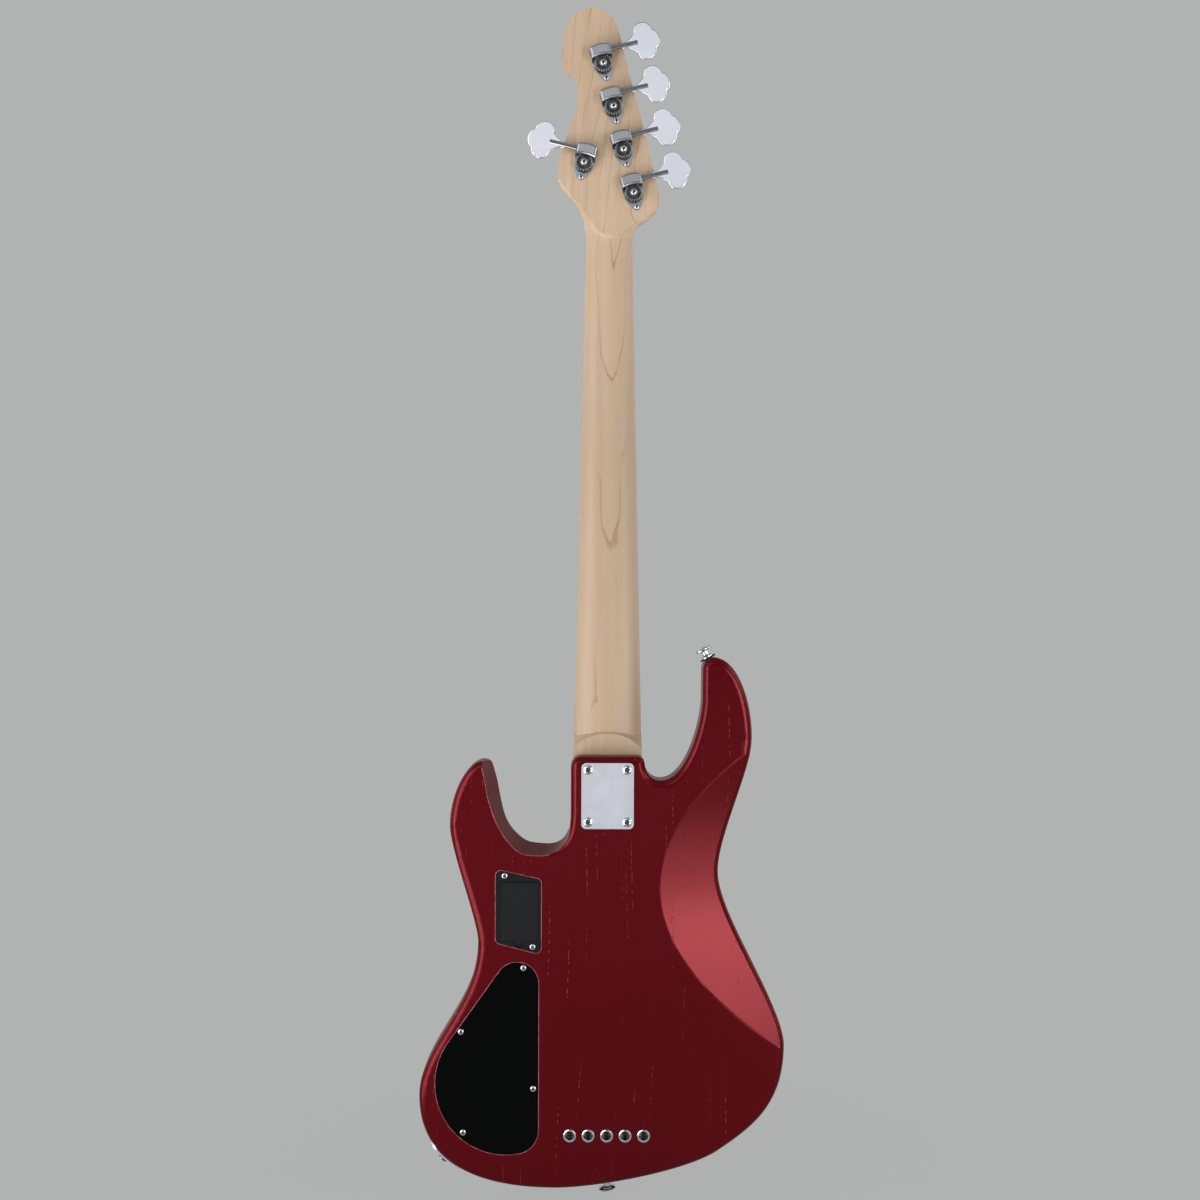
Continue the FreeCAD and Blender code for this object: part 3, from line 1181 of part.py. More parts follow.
key_far = [(x, -y, 180 - heading, after, before) for x, y, heading, before, after in reversed(KEY_SIDE[:-1])]
key_plan = flow([(x, worm_away + y, heading, before, after)
                 for x, y, heading, before, after in KEY_SIDE + key_far])
clover_sheet = pad(clover, "clover_sheet", closed(key_plan), key_low, key_thick, role="XY_Plane")
doc.recompute()
clover_rim = ["Edge%d" % n for n, e in enumerate(clover_sheet.Shape.Edges, start=1)
              if e.BoundBox.ZLength < 0.01 and e.BoundBox.XLength > 0.01]
rounded_over(clover, "clover_round", clover_sheet, clover_rim, KEY_ROUND)
shaft_parts = [worm, clover,
               rod("key_axle", key_shaft, AXLE_END + left_end, axle_point - EAST * left_end, EAST),
               rod("key_collar", key_shaft + 0.9, 3.2, axle_point + EAST * (COVER_SIDE + 0.35), EAST),
               rod("key_boss", key_shaft + 0.25, SHAFT_TIP - KEY_START + 1,
                   axle_point + EAST * (KEY_START - 1), EAST)]
key = fused("tuner_key", shaft_parts)
doc.recompute()
left_key = shaped("left_tuner_key", key.Shape.mirror(FreeCAD.Vector(0, 0, 0), EAST))
for number, stood in enumerate(tuner_stands, start=1):
    key_shape = left_key if number == STRINGS else key
    piece("tuner_key_%d" % number, placed("key_copy_%d" % number, key_shape, stood))
    piece("tuner_gear_%d" % number, placed("gear_copy_%d" % number, wheel, stood))
    piece("tuner_post_%d" % number, placed("post_copy_%d" % number, slotted, stood))
group("tuner_plates", shield, tuner_stands)
group("tuner_covers", hood, tuner_stands)
group("tuner_bushings", bushing, tuner_stands)
tip_screw = screw("tip_screw", 2.4, 1.5, 1.15, 9)
tip_seat = FreeCAD.Placement(FreeCAD.Vector(0, TIP_SCREW, PLATE_SHEET), FreeCAD.Rotation())
group("tuner_screws", tip_screw, [stood.multiply(tip_seat) for stood in tuner_stands])

# Every piece is checked and written to its own file
doc.recompute()
for thing in doc.Objects:
    if "Invalid" in thing.State or "Error" in thing.State:
        raise ValueError("%s did not build: %s" % (thing.Name, thing.State))
os.makedirs("parts", exist_ok=True)
for label, thing in PIECES:
    if thing.Shape.isNull() or not thing.Shape.isValid() or not thing.Shape.Solids:
        raise ValueError("%s has no valid solid" % label)
    thing.Shape.exportStep("parts/%s.step" % label)
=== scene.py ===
import json
import math

import bmesh
import bpy
import numpy as np
from bpy.props import FloatProperty, FloatVectorProperty, IntProperty, PointerProperty
from mathutils import Matrix, Vector

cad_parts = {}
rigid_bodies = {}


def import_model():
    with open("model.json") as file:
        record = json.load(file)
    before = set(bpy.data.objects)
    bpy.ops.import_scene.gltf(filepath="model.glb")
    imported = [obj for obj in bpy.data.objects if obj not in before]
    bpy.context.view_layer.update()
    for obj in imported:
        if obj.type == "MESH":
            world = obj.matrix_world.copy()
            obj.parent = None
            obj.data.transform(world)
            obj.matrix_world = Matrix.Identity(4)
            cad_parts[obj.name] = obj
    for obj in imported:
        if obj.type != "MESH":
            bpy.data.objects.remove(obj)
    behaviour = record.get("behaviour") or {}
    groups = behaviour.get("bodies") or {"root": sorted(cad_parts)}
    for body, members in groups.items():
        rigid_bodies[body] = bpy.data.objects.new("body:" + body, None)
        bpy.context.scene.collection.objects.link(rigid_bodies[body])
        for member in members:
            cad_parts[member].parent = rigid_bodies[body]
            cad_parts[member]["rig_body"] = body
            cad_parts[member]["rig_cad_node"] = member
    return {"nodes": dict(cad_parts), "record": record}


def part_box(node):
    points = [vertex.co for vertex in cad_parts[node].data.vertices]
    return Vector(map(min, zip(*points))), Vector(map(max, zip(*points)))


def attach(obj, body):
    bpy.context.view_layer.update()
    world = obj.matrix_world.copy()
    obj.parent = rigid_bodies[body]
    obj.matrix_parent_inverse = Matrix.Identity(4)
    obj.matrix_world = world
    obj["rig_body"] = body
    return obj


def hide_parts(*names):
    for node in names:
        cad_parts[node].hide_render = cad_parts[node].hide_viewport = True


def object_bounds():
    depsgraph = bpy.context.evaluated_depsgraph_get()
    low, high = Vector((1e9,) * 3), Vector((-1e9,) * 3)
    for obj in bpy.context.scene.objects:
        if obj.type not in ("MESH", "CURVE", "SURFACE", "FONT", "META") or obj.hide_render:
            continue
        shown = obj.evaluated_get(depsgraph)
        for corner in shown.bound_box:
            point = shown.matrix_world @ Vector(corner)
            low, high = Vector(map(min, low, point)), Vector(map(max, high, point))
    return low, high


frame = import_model()
CAD_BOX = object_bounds()
NODES = frame["nodes"]
BODY_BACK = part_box("control_cover")[0].y
UP = Vector((0, 0, 1))
FORWARD = Vector((0, 1, 0))
BACKWARD = Vector((0, -1, 0))
NUMBERS = range(1, 6)

# Points nearer than this are one point, and edges that turn more than this are sharp
WELD = 0.00001
SHARP = math.radians(24)

# Half of a tuner key's clover: distance from the gear's axis and half width, both in millimetres
KEY_HALF = ((22.2, 3.0), (26.0, 3.3), (29.5, 4.9), (33.0, 7.3), (35.3, 9.7), (36.0, 12.3),
            (38.0, 16.25), (41.0, 18.0), (45.0, 18.5), (49.0, 17.4), (52.2, 14.7), (54.0, 11.4),
            (54.6, 9.2), (56.9, 7.6), (58.9, 4.2), (59.6, 0.0))

# Crowns, from the rim inwards: rise as a share of the height, and width as a share of the ring before
SCREW_CROWN = ((0.24, 0.94), (0.18, 0.86), (0.12, 0.74), (0.07, 0.62))
KNOB_CROWN = ((0.06, 0.985), (0.08, 0.95), (0.08, 0.88), (0.06, 0.80), (-0.02, 0.92))

# Screws that get a cross: node, height of the head, radius of the shank, finish and slot
SCREWS = (("neck_plate_screws", 0.0026, 0.0024, "screw_chrome", "chrome"),
          ("cover_screws", 0.0017, 0.00125, "screw_chrome", "chrome"),
          ("tuner_screws", 0.0015, 0.00115, "screw_chrome", "chrome"),
          ("bridge_screws", 0.0022, 0.0015, "screw_chrome", "chrome"),
          ("pickup_screws", 0.0015, 0.0012, "black_screw", "black_screw"),
          ("intonation_screws", 0.0020, 0.0013, "screw_chrome", "steel"))
CROSS_TURN = 0.35

# A saddle's height screws: distance from its side, below its face and from its upper end
GRUB_SIDE, GRUB_BELOW, GRUB_END = 0.0025, 0.0030, 0.0020

KNOB_TALL = 0.015
KNOB_WALL = 0.0025
KNOB_MARK = 0.0012
FLUTE_LAND = 0.00012

# Softboxes and cards: name, place, aim, width, height, watts and tint
MIDDLE = (0, 0, -0.40)
WHITE = (1.0, 1.0, 1.0)
SOFT = (1.0, 0.99, 0.98)
WARM = (1.0, 0.98, 0.97)
LAMPS = (("left_softbox", (-1.95, -0.80, -0.05), MIDDLE, 0.50, 1.6, 7.0, SOFT),
         ("right_softbox", (1.85, -0.55, 0.45), MIDDLE, 0.30, 1.1, 8.0, SOFT),
         ("belly_softbox", (1.17, -1.72, -0.42), (0.1, 0, -0.7), 0.55, 1.0, 13.0, WARM),
         ("right_low_card", (0.62, -0.80, -0.88), (0.1, -0.05, -0.6), 0.5, 0.5, 2.7, WARM),
         ("left_strip", (-0.86, -0.86, -0.48), (-0.1, 0, -0.60), 0.45, 0.95, 8.0, WARM),
         ("floor_card", (-0.68, -0.62, -0.935), (-0.68, -0.62, 0), 0.6, 0.9, 7.0, WARM),
         ("front_fill", (-0.9, -2.4, 1.0), (0, 0, 0.1), 0.9, 0.9, 7.4, WHITE),
         ("key_card", (0.0, -2.2, 0.80), (0, 0, 0.80), 0.62, 0.62, 0.58, (0.97, 0.98, 1.0)),
         ("plate_card", (0.01, -2.2, -0.815), (0.01, 0, -0.815), 0.22, 0.30, 0.109, (0.95, 0.96, 1.0)),
         ("far_front", (0.5, 2.5, 0.7), MIDDLE, 1.3, 1.3, 38.0, WHITE),
         ("far_left", (-2.2, 1.0, 0.1), MIDDLE, 1.6, 2.4, 13.0, WHITE),
         ("far_right", (2.2, 1.0, 0.1), MIDDLE, 1.6, 2.4, 13.0, WHITE))

# Dark cards: name, place, tilt in degrees, width and height
FLAGS = (("upper_flag", (0, -2.3, 1.62), 90, 1.4, 0.9),
         ("lower_flag", (0, -2.3, 0.02), 90, 1.4, 0.86),
         ("rear_flag", (-0.1, 1.45, 1.22), 135, 1.4, 1.0))
FLOOR_RADIUS = 9.0

bl_info = {
    "name": "Bass guitar finish",
    "version": (1, 0, 0),
    "blender": (4, 5, 0),
    "location": "View3D > Sidebar > Bass",
    "description": "Finishes the woods, metals and fittings of a five-string bass guitar",
    "category": "Object",
}


# Sizes and colours that a user would change

def colour(name, description, value):
    return FloatVectorProperty(name=name, description=description, default=value, subtype="COLOR",
                               size=3, min=0.0, max=1.0)


def length(name, description, value):
    return FloatProperty(name=name, description=description, default=value, unit="LENGTH",
                         min=0.0, precision=5)


class BassColours(bpy.types.PropertyGroup):
    lacquer_deep: colour("Lacquer, deep", "Red of the flat wood", (0.090, 0.0009, 0.0036))
    lacquer_warm: colour("Lacquer, warm", "Red where the wood is paler", (0.110, 0.0014, 0.0048))
    pore: colour("Open pore", "Pale red in the open grain", (0.26, 0.045, 0.062))
    # Pale red of the edge beads, a painted highlight along the body's sharp edges
    lacquer_edge: colour("Lacquer, edge", "Thin lacquer on a sharp edge", (0.38, 0.13, 0.15))
    maple_pale: colour("Maple, pale", "Light wood between the rings", (0.615, 0.462, 0.326))
    maple_warm: colour("Maple, warm", "Darker wood in the streaks", (0.515, 0.372, 0.252))
    maple_ring: colour("Maple ring", "Line of late wood", (0.27, 0.170, 0.095))
    chrome: colour("Chrome", "Plated hardware", (0.60, 0.61, 0.65))
    nickel: colour("Nickel", "Tuner plates and worm covers", (0.43, 0.44, 0.47))
    plate: colour("Polished plate", "Broad flat plating", (0.80, 0.81, 0.89))
    # Darkened chrome on the key shafts, painted shade: the clovers of the same keys get the bright
    # plate
    shaft: colour("Key shaft", "Plating of the tuner keys' shafts", (0.34, 0.35, 0.37))
    steel: colour("Steel", "Frets, poles and screws", (0.56, 0.56, 0.57))
    gear: colour("Gear", "Dark oiled gear wheels", (0.036, 0.035, 0.034))
    black: colour("Black", "Covers and battery box", (0.0050, 0.0056, 0.0064))
    bone: colour("Bone", "Nut", (0.78, 0.73, 0.62))
    felt: colour("Felt", "Washers under the strap buttons", (0.010, 0.0096, 0.0104))
    circuit: colour("Circuit board", "Preamp board", (0.018, 0.13, 0.055))
    battery: colour("Battery", "Case of the battery", (0.10, 0.10, 0.11))


class BassSizes(bpy.types.PropertyGroup):
    edge_bead: length("Edge bead", "Radius of the lacquer where it rounds a sharp edge", 0.00028)
    knob_flute: length("Knob flute", "Depth of the flutes round a knob", 0.00045)
    flutes: IntProperty(name="Flutes", description="Flutes round a knob", default=44, min=12, max=90)
    key_thickness: length("Key thickness", "Thickness of a tuner key's clover", 0.0025)
    key_rounding: length("Key rounding", "Radius of the edge of a tuner key's clover", 0.0007)
    gear_screw: length("Gear screw", "Head radius of the screw in a gear wheel", 0.0031)
    grub_screw: length("Grub screw", "Radius of a saddle's height screw", 0.0015)


class BassStage(bpy.types.PropertyGroup):
    camera_spot: FloatVectorProperty(name="Camera", description="Where the camera stands",
                                     subtype="XYZ", unit="LENGTH", default=(-0.008, -1.601, -0.3606))
    camera_roll: FloatProperty(name="Roll", description="Turn of the camera about its view",
                               unit="ROTATION", default=-0.00314)
    lens: FloatProperty(name="Lens", description="Focal length in millimetres", default=47.8)
    backdrop: colour("Backdrop", "Flat grey behind the bass", (0.440, 0.451, 0.445))
    floor_gap: length("Floor gap", "Floor below the lowest strap button", 0.002)
    ambient: FloatProperty(name="Ambient", description="Strength of the even light", default=0.21)


# Shader arithmetic

class Wire:
    """A shader socket that can be added, scaled and rounded as a number."""

    def __init__(self, finish, socket):
        self.finish = finish
        self.socket = socket

    def figure(self, operation, first, second=0.0):
        return self.finish.add("ShaderNodeMath", {"operation": operation}, {0: first, 1: second})

    def __add__(self, other):
        return self.figure("ADD", self, other)

    def __sub__(self, other):
        return self.figure("SUBTRACT", self, other)

    def __rsub__(self, other):
        return self.figure("SUBTRACT", other, self)

    def __mul__(self, other):
        return self.figure("MULTIPLY", self, other)

    def __abs__(self):
        return self.figure("ABSOLUTE", self)

    def __floor__(self):
        return self.figure("FLOOR", self)

    __radd__ = __add__
    __rmul__ = __mul__


class Finish:
    """A material built node by node on the object's own coordinates."""

    def __init__(self, name):
        self.material = bpy.data.materials.new(name)
        self.material.use_nodes = True
        self.tree = self.material.node_tree
        self.tree.nodes.clear()
        self.where = self.add("ShaderNodeTexCoord", out="Object")
        split = self.add("ShaderNodeSeparateXYZ", {}, {0: self.where}).socket.node
        self.x, self.y, self.z = (Wire(self, s) for s in split.outputs)

    def add(self, kind, settings=None, values=None, out=0):
        node = self.tree.nodes.new(kind)
        for key, setting in (settings or {}).items():
            setattr(node, key, setting)
        for key, value in (values or {}).items():
            if isinstance(value, Wire):
                self.tree.links.new(value.socket, node.inputs[key])
            else:
                node.inputs[key].default_value = value
        return Wire(self, node.outputs[out])

    def stretched(self, x, y, z):
        return self.add("ShaderNodeVectorMath", {"operation": "MULTIPLY"},
                        {0: self.where, 1: (x, y, z)})

    def noise(self, x, y, z, detail=2.0, rough=0.5):
        return self.add("ShaderNodeTexNoise", {}, {"Vector": self.stretched(x, y, z), "Scale": 1.0,
                                                   "Detail": detail, "Roughness": rough})

    def noise_at(self, x, y, z, detail=2.0):
        spot = self.add("ShaderNodeCombineXYZ", {}, {0: x, 1: y, 2: z})
        return self.add("ShaderNodeTexNoise", {}, {"Vector": spot, "Scale": 1.0, "Detail": detail})

    def ease(self, value, low, high):
        """0 below low, 1 above high and a soft step between."""
        return self.add("ShaderNodeMapRange", {"interpolation_type": "SMOOTHSTEP"},
                        {"Value": value, "From Min": low, "From Max": high})

    def blend(self, share, first, second):
        """A mix of two colours; a Mix node's sockets 6, 7 and out 2 are its colour ones."""
        ends = {6: first, 7: second}
        ends = {k: v if isinstance(v, Wire) else (*v, 1.0) for k, v in ends.items()}
        return self.add("ShaderNodeMix", {"data_type": "RGBA"}, {0: share, **ends}, out=2)

    def relief(self, height, strength, distance):
        return self.add("ShaderNodeBump", {},
                        {"Strength": strength, "Distance": distance, "Height": height})

    def surface(self, values):
        values = {k: (*v, 1.0) if isinstance(v, tuple) else v for k, v in values.items()}
        self.add_output(self.add("ShaderNodeBsdfPrincipled", {}, values))
        return self.material

    def add_output(self, shader):
        end = self.tree.nodes.new("ShaderNodeOutputMaterial")
        self.tree.links.new(shader.socket, end.inputs["Surface"])


def scaled(value, share):
    return tuple(v * share for v in value)


def tone(name, share=1.0):
    """A colour of the panel, lightened or darkened by a share."""
    return scaled(getattr(bpy.context.scene.bass_colours, name), share)


# Finishes

def red_lacquer():
    """Satin red over open grain: rows of short pores that catch no gloss."""
    f = Finish("satin_red_lacquer")
    sway = f.noise(4.0, 4.0, 1.7, detail=1.0)
    fine = f.noise(420.0, 420.0, 24.0, detail=2.0)
    pores = 0.0
    for pitch, bend, width, opened, pace in ((64.0, 5.0, 0.030, 0.53, 230.0),
                                             (190.0, 13.0, 0.055, 0.60, 330.0)):
        lane = f.x * pitch + f.y * pitch * 0.4 + sway * bend
        row = math.floor(lane)
        line = 1.0 - f.ease(abs(lane - row - 0.5), width * 0.4, width)
        dash = f.ease(f.noise_at(row * 7.3, 0.0, f.z * pace, detail=1.0), 0.50, 0.58)
        patches = f.noise_at(row * 3.1, 4.0, f.z * 9.0, detail=1.0)
        pores = line * dash * f.ease(patches, opened, opened + 0.07) + pores
    cloud = f.noise(7.0, 7.0, 3.0, detail=3.0)
    base = f.blend(cloud * 0.7 + fine * 0.3, tone("lacquer_deep"), tone("lacquer_warm"))
    base = f.blend(pores * 0.62, base, tone("pore"))
    bump = f.relief(fine * 0.04 - pores, 0.25, 0.0003)
    return f.surface({"Base Color": base, "Metallic": 0.46 - pores * 0.4,
                      "Roughness": 0.23 + fine * 0.05 + pores * 0.3, "Specular IOR Level": 0.06,
                      "Specular Tint": (0.55, 0.12, 0.16), "Coat Weight": 0.21 - pores * 0.2,
                      "Coat Roughness": 0.23, "Normal": bump})


def edge_highlight_finish():
    # Painted highlight: the bead's pale pink colour, mottled by noise, stands for light caught on a
    # sharp edge
    f = Finish("rubbed_lacquer_edge")
    highlight_mix = f.noise(130.0, 130.0, 130.0, detail=3.0)
    base = f.blend(f.ease(highlight_mix, 0.35, 0.65), tone("pore"), tone("lacquer_edge"))
    return f.surface({"Base Color": base, "Roughness": 0.30 + highlight_mix * 0.1, "Specular IOR Level": 0.3})


def maple(name, head):
    """Maple with ring lines. Where head is 1 they run up a headstock, close into long points along
    the neck's back and bunch at its heel, and the neck below the headstock is painted darker, more so
    further down, as painted shade."""
    f = Finish(name)
    pale, warm = tone("maple_pale"), tone("maple_warm")
    drift = f.noise(15.0, 15.0, 2.6, detail=2.0)
    wander = f.noise(70.0, 70.0, 16.0, detail=2.0)
    up = f.ease(f.z, -0.03, 0.03) * head
    heel = f.ease(f.z * -1.0, 0.486, 0.490) * head
    across = f.x * (up * 58.0 + heel * 96.0 + 22.0)
    along = f.z * (4.0 - up * 12.0)
    phase = across - f.y * 250.0 + along + drift * 5.2 + wander * 0.45
    ring = math.floor(phase)
    saw = phase - ring
    line = f.ease(saw, 0.91, 0.98) * (1.0 - f.ease(saw, 0.98, 1.0))
    faint = f.ease(f.noise_at(ring * 5.7, 2.0, f.z * 11.0), 0.34, 0.58)
    faint = faint * (1.0 - f.ease(abs(f.x), 0.013, 0.022) * (1.0 - up) * (1.0 - heel))
    streak = f.noise(700.0, 700.0, 11.0, detail=4.0, rough=0.62)
    fleck = f.ease(f.noise(2400.0, 2400.0, 230.0, detail=0.0), 0.62, 0.74)
    band = f.ease(f.noise(115.0, 115.0, 2.0, detail=2.0), 0.34, 0.66)
    base = f.blend(drift * 0.25 + band * 0.42 + streak * 0.40, pale, warm)
    base = f.blend(saw * saw * 0.18, base, warm)
    # Painted shade: the neck below the headstock is darker, and darker still towards the body
    neck_painted_shade = ((1.0 - up) * 0.16 + f.ease(f.z * -1.0, 0.02, 0.24) * 0.27) * head
    base = f.blend(neck_painted_shade, base, scaled(warm, 0.45))
    base = f.blend(line * faint * 0.72 + fleck * 0.09, base, tone("maple_ring"))
    bump = f.relief(streak - fleck * 0.4, 0.10, 0.0002)
    return f.surface({"Base Color": base, "Roughness": 0.42 + streak * 0.10,
                      "Specular IOR Level": 0.30, "Coat Weight": 0.10, "Coat Roughness": 0.32,
                      "Normal": bump})


def plated(name, value, rough, wear=0.06):
    f = Finish(name)
    haze = f.noise(55.0, 55.0, 55.0, detail=4.0)
    rubbed = f.noise(900.0, 900.0, 260.0, detail=3.0)
    base = f.blend(haze * 0.5, value, scaled(value, 0.86))
    bump = f.relief(rubbed, 0.03, 0.0001)
    return f.surface({"Base Color": base, "Metallic": 1.0,
                      "Roughness": rough + haze * wear + rubbed * 0.03, "Normal": bump})


def oiled_gear(number):
    """Dark gear steel, with a painted highlight of bright steel on the teeth."""
    f = Finish("oiled_gear_steel_%d" % number)
    low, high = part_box("tuner_gear_%d" % number)
    middle = (low + high) / 2
    rim = (high.x - low.x) / 2
    reach = f.add("ShaderNodeVectorMath", {"operation": "DISTANCE"},
                  {0: f.stretched(1.0, 0.0, 1.0), 1: (middle.x, 0.0, middle.z)}, out="Value")
    # Painted highlight: a ring of bright steel over the teeth, so they stand out against the dark gear
    highlight_mix = f.ease(reach, rim - 0.0021, rim - 0.0006)
    grime = f.noise(300.0, 300.0, 300.0, detail=4.0)
    turned = f.noise(1400.0, 200.0, 1400.0, detail=2.0)
    base = f.blend(f.ease(grime, 0.35, 0.70), tone("gear"), tone("gear", 2.6))
    base = f.blend(highlight_mix * 0.85, base, tone("steel"))
    bump = f.relief(turned + grime, 0.12, 0.0002)
    return f.surface({"Base Color": base, "Metallic": 0.9, "Roughness": 0.26 + grime * 0.22,
                      "Normal": bump})


def screw_grime():
    """Painted shade in the recess of a screw, one material for all of them."""
    made = bpy.data.materials.get("screw_grime")
    if made:
        return made
    f = Finish("screw_grime")
    shade_mottle = f.noise(1800.0, 1800.0, 1800.0, detail=3.0)
    base = f.blend(shade_mottle, (0.010, 0.009, 0.008), (0.050, 0.046, 0.040))
    return f.surface({"Base Color": base, "Metallic": 0.4, "Roughness": 0.6 + shade_mottle * 0.2})


def black_gloss():
    f = Finish("polished_black_sheet")
    ripple = f.noise(18.0, 18.0, 18.0, detail=2.0)
    dust = f.ease(f.noise(1100.0, 1100.0, 1100.0, detail=1.0), 0.70, 0.80)
    base = f.blend(dust * 0.25, tone("black", 0.12), tone("black", 2.0))
    bump = f.relief(ripple, 0.02, 0.001)
    return f.surface({"Base Color": base, "Roughness": 0.14 + dust * 0.2, "Specular IOR Level": 0.07,
                      "Normal": bump})


def black_moulded(name, brushed):
    """Moulded black plastic, with a vertical brushed face where brushed is 1."""
    f = Finish(name)
    grit = f.noise(1700.0, 1700.0, 1700.0, detail=2.0)
    brush = f.noise(2600.0, 40.0, 34.0, detail=3.0, rough=0.7)
    patch = f.noise(40.0, 40.0, 12.0, detail=2.0)
    pattern = brush * brushed + grit * (1.0 - brushed)
    share = f.ease(pattern, 0.34, 0.74) * (0.55 + 0.45 * brushed) + patch * 0.2
    base = f.blend(share, tone("black"), tone("black", 1.5 + 0.6 * brushed))
    bump = f.relief(pattern, 0.14 + 0.12 * brushed, 0.0002)
    return f.surface({"Base Color": base, "Roughness": 0.44 + pattern * 0.16,
                      "Specular IOR Level": 0.11, "Normal": bump})


def inlay_black():
    f = Finish("black_inlay_dot")
    swirl = f.noise(800.0, 800.0, 800.0, detail=3.0)
    base = f.blend(swirl, tone("black", 0.9), tone("black", 2.2))
    return f.surface({"Base Color": base, "Roughness": 0.22 + swirl * 0.12, "Specular IOR Level": 0.4})


def wound_wire():
    """Wound wire, with dark ball ends where the strings lie in their ferrules."""
    f = Finish("wound_string_wire")
    turns = f.x.figure("SINE", f.z * 9500.0 + f.x * 700.0)
    patina = f.noise(90.0, 90.0, 30.0, detail=3.0)
    ferrule_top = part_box("string_ferrules")[1].z
    ball = 1.0 - f.ease(f.z, ferrule_top, ferrule_top + 0.002)
    base = f.blend(patina, (0.62, 0.60, 0.56), (0.48, 0.45, 0.40))
    base = f.blend(ball, base, (0.060, 0.042, 0.026))
    bump = f.relief(turns, 0.35, 0.0002)
    return f.surface({"Base Color": base, "Metallic": 1.0, "Roughness": 0.27 + patina * 0.16,
                      "Normal": bump})


def bone():
    f = Finish("bone_nut")
    streak = f.noise(500.0, 90.0, 500.0, detail=3.0)
    base = f.blend(streak, tone("bone"), tone("bone", 0.88))
    return f.surface({"Base Color": base, "Roughness": 0.34 + streak * 0.12, "Subsurface Weight": 0.06})


def felt():
    f = Finish("pressed_felt")
    fibre = f.noise(2600.0, 2600.0, 2600.0, detail=4.0)
    base = f.blend(fibre, tone("felt"), tone("felt", 2.0))
    return f.surface({"Base Color": base, "Roughness": 0.95, "Specular IOR Level": 0.1,
                      "Normal": f.relief(fibre, 0.6, 0.0004)})


def board_green():
    f = Finish("green_circuit_board")
    tracks = f.add("ShaderNodeTexVoronoi", {"feature": "DISTANCE_TO_EDGE", "distance": "MANHATTAN"},
                   {"Vector": f.stretched(330.0, 60.0, 330.0), "Scale": 1.0})
    line = 1.0 - f.ease(tracks, 0.03, 0.07)
    chips = f.ease(f.y * -1.0, 0.0297, 0.0299)
    base = f.blend(line * 0.7, tone("circuit"), (0.42, 0.26, 0.09))
    base = f.blend(chips, base, (0.012, 0.012, 0.013))
    return f.surface({"Base Color": base, "Roughness": 0.42 + line * 0.1,
                      "Normal": f.relief(line, 0.2, 0.0002)})


def lead_cover():
    f = Finish("lead_insulation")
    scuff = f.noise(600.0, 600.0, 600.0, detail=2.0)
    base = f.blend(scuff, (0.018, 0.018, 0.019), (0.045, 0.044, 0.045))
    return f.surface({"Base Color": base, "Roughness": 0.52 + scuff * 0.16})


def battery_case():
    f = Finish("battery_case")
    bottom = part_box("battery")[0].z
    band = f.ease(f.z, bottom + 0.031, bottom + 0.032)
    scuff = f.noise(350.0, 350.0, 90.0, detail=3.0)
    base = f.blend(band, tone("battery"), (0.42, 0.22, 0.09))
    base = f.blend(scuff * 0.3, base, (0.03, 0.03, 0.03))
    return f.surface({"Base Color": base, "Metallic": 0.45, "Roughness": 0.28 + scuff * 0.2})


def dress(material, *names):
    for name in names:
        NODES[name].data.materials.clear()
        NODES[name].data.materials.append(material)


# Modelling by hand

def put_down():
    """Leaves edit mode with nothing selected."""
    if bpy.context.object and bpy.context.object.mode != "OBJECT":
        bpy.ops.object.mode_set(mode="OBJECT")
    bpy.ops.object.select_all(action="DESELECT")


def take_up(thing):
    put_down()
    thing.select_set(True)
    bpy.context.view_layer.objects.active = thing


def pick(test, kind="FACE"):
    """Selects the faces or edges of the mesh in edit mode that pass a test."""
    bpy.ops.mesh.select_mode(type=kind)
    bpy.ops.mesh.select_all(action="DESELECT")
    shape = bmesh.from_edit_mesh(bpy.context.object.data)
    shape.normal_update()
    for part in shape.faces if kind == "FACE" else shape.edges:
        part.select_set(test(part))
    shape.select_flush_mode()
    bmesh.update_edit_mesh(bpy.context.object.data)


def faces_up(face):
    return face.normal.z > 0.9


def faces_down(face):
    return face.normal.z < -0.9


def rise(height, share=1.0):
    """Pulls the selected faces up and draws them in towards the axis."""
    bpy.ops.mesh.extrude_region_move(TRANSFORM_OT_translate={"value": (0, 0, height)})
    bpy.ops.transform.resize(value=(share, share, 1), center_override=(0, 0, 0))


def weld():
    bpy.ops.mesh.select_all(action="SELECT")
    bpy.ops.mesh.remove_doubles(threshold=WELD)


def apply_all(thing):
    take_up(thing)
    for step in list(thing.modifiers):
        bpy.ops.object.modifier_apply(modifier=step.name)


def smooth(thing, degrees=32):
    take_up(thing)
    bpy.ops.object.shade_smooth_by_angle(angle=math.radians(degrees))


def carve(thing, cutter, inside=None):
    """Cuts one shape out of another; the walls of the cut take the finish inside, if there is one."""
    if inside:
        cutter.data.materials.append(inside)
    step = thing.modifiers.new("carve", "BOOLEAN")
    step.object = cutter
    step.operation = "DIFFERENCE"
    step.solver = "EXACT"
    step.material_mode = "TRANSFER"
    apply_all(thing)
    bpy.data.objects.remove(cutter)


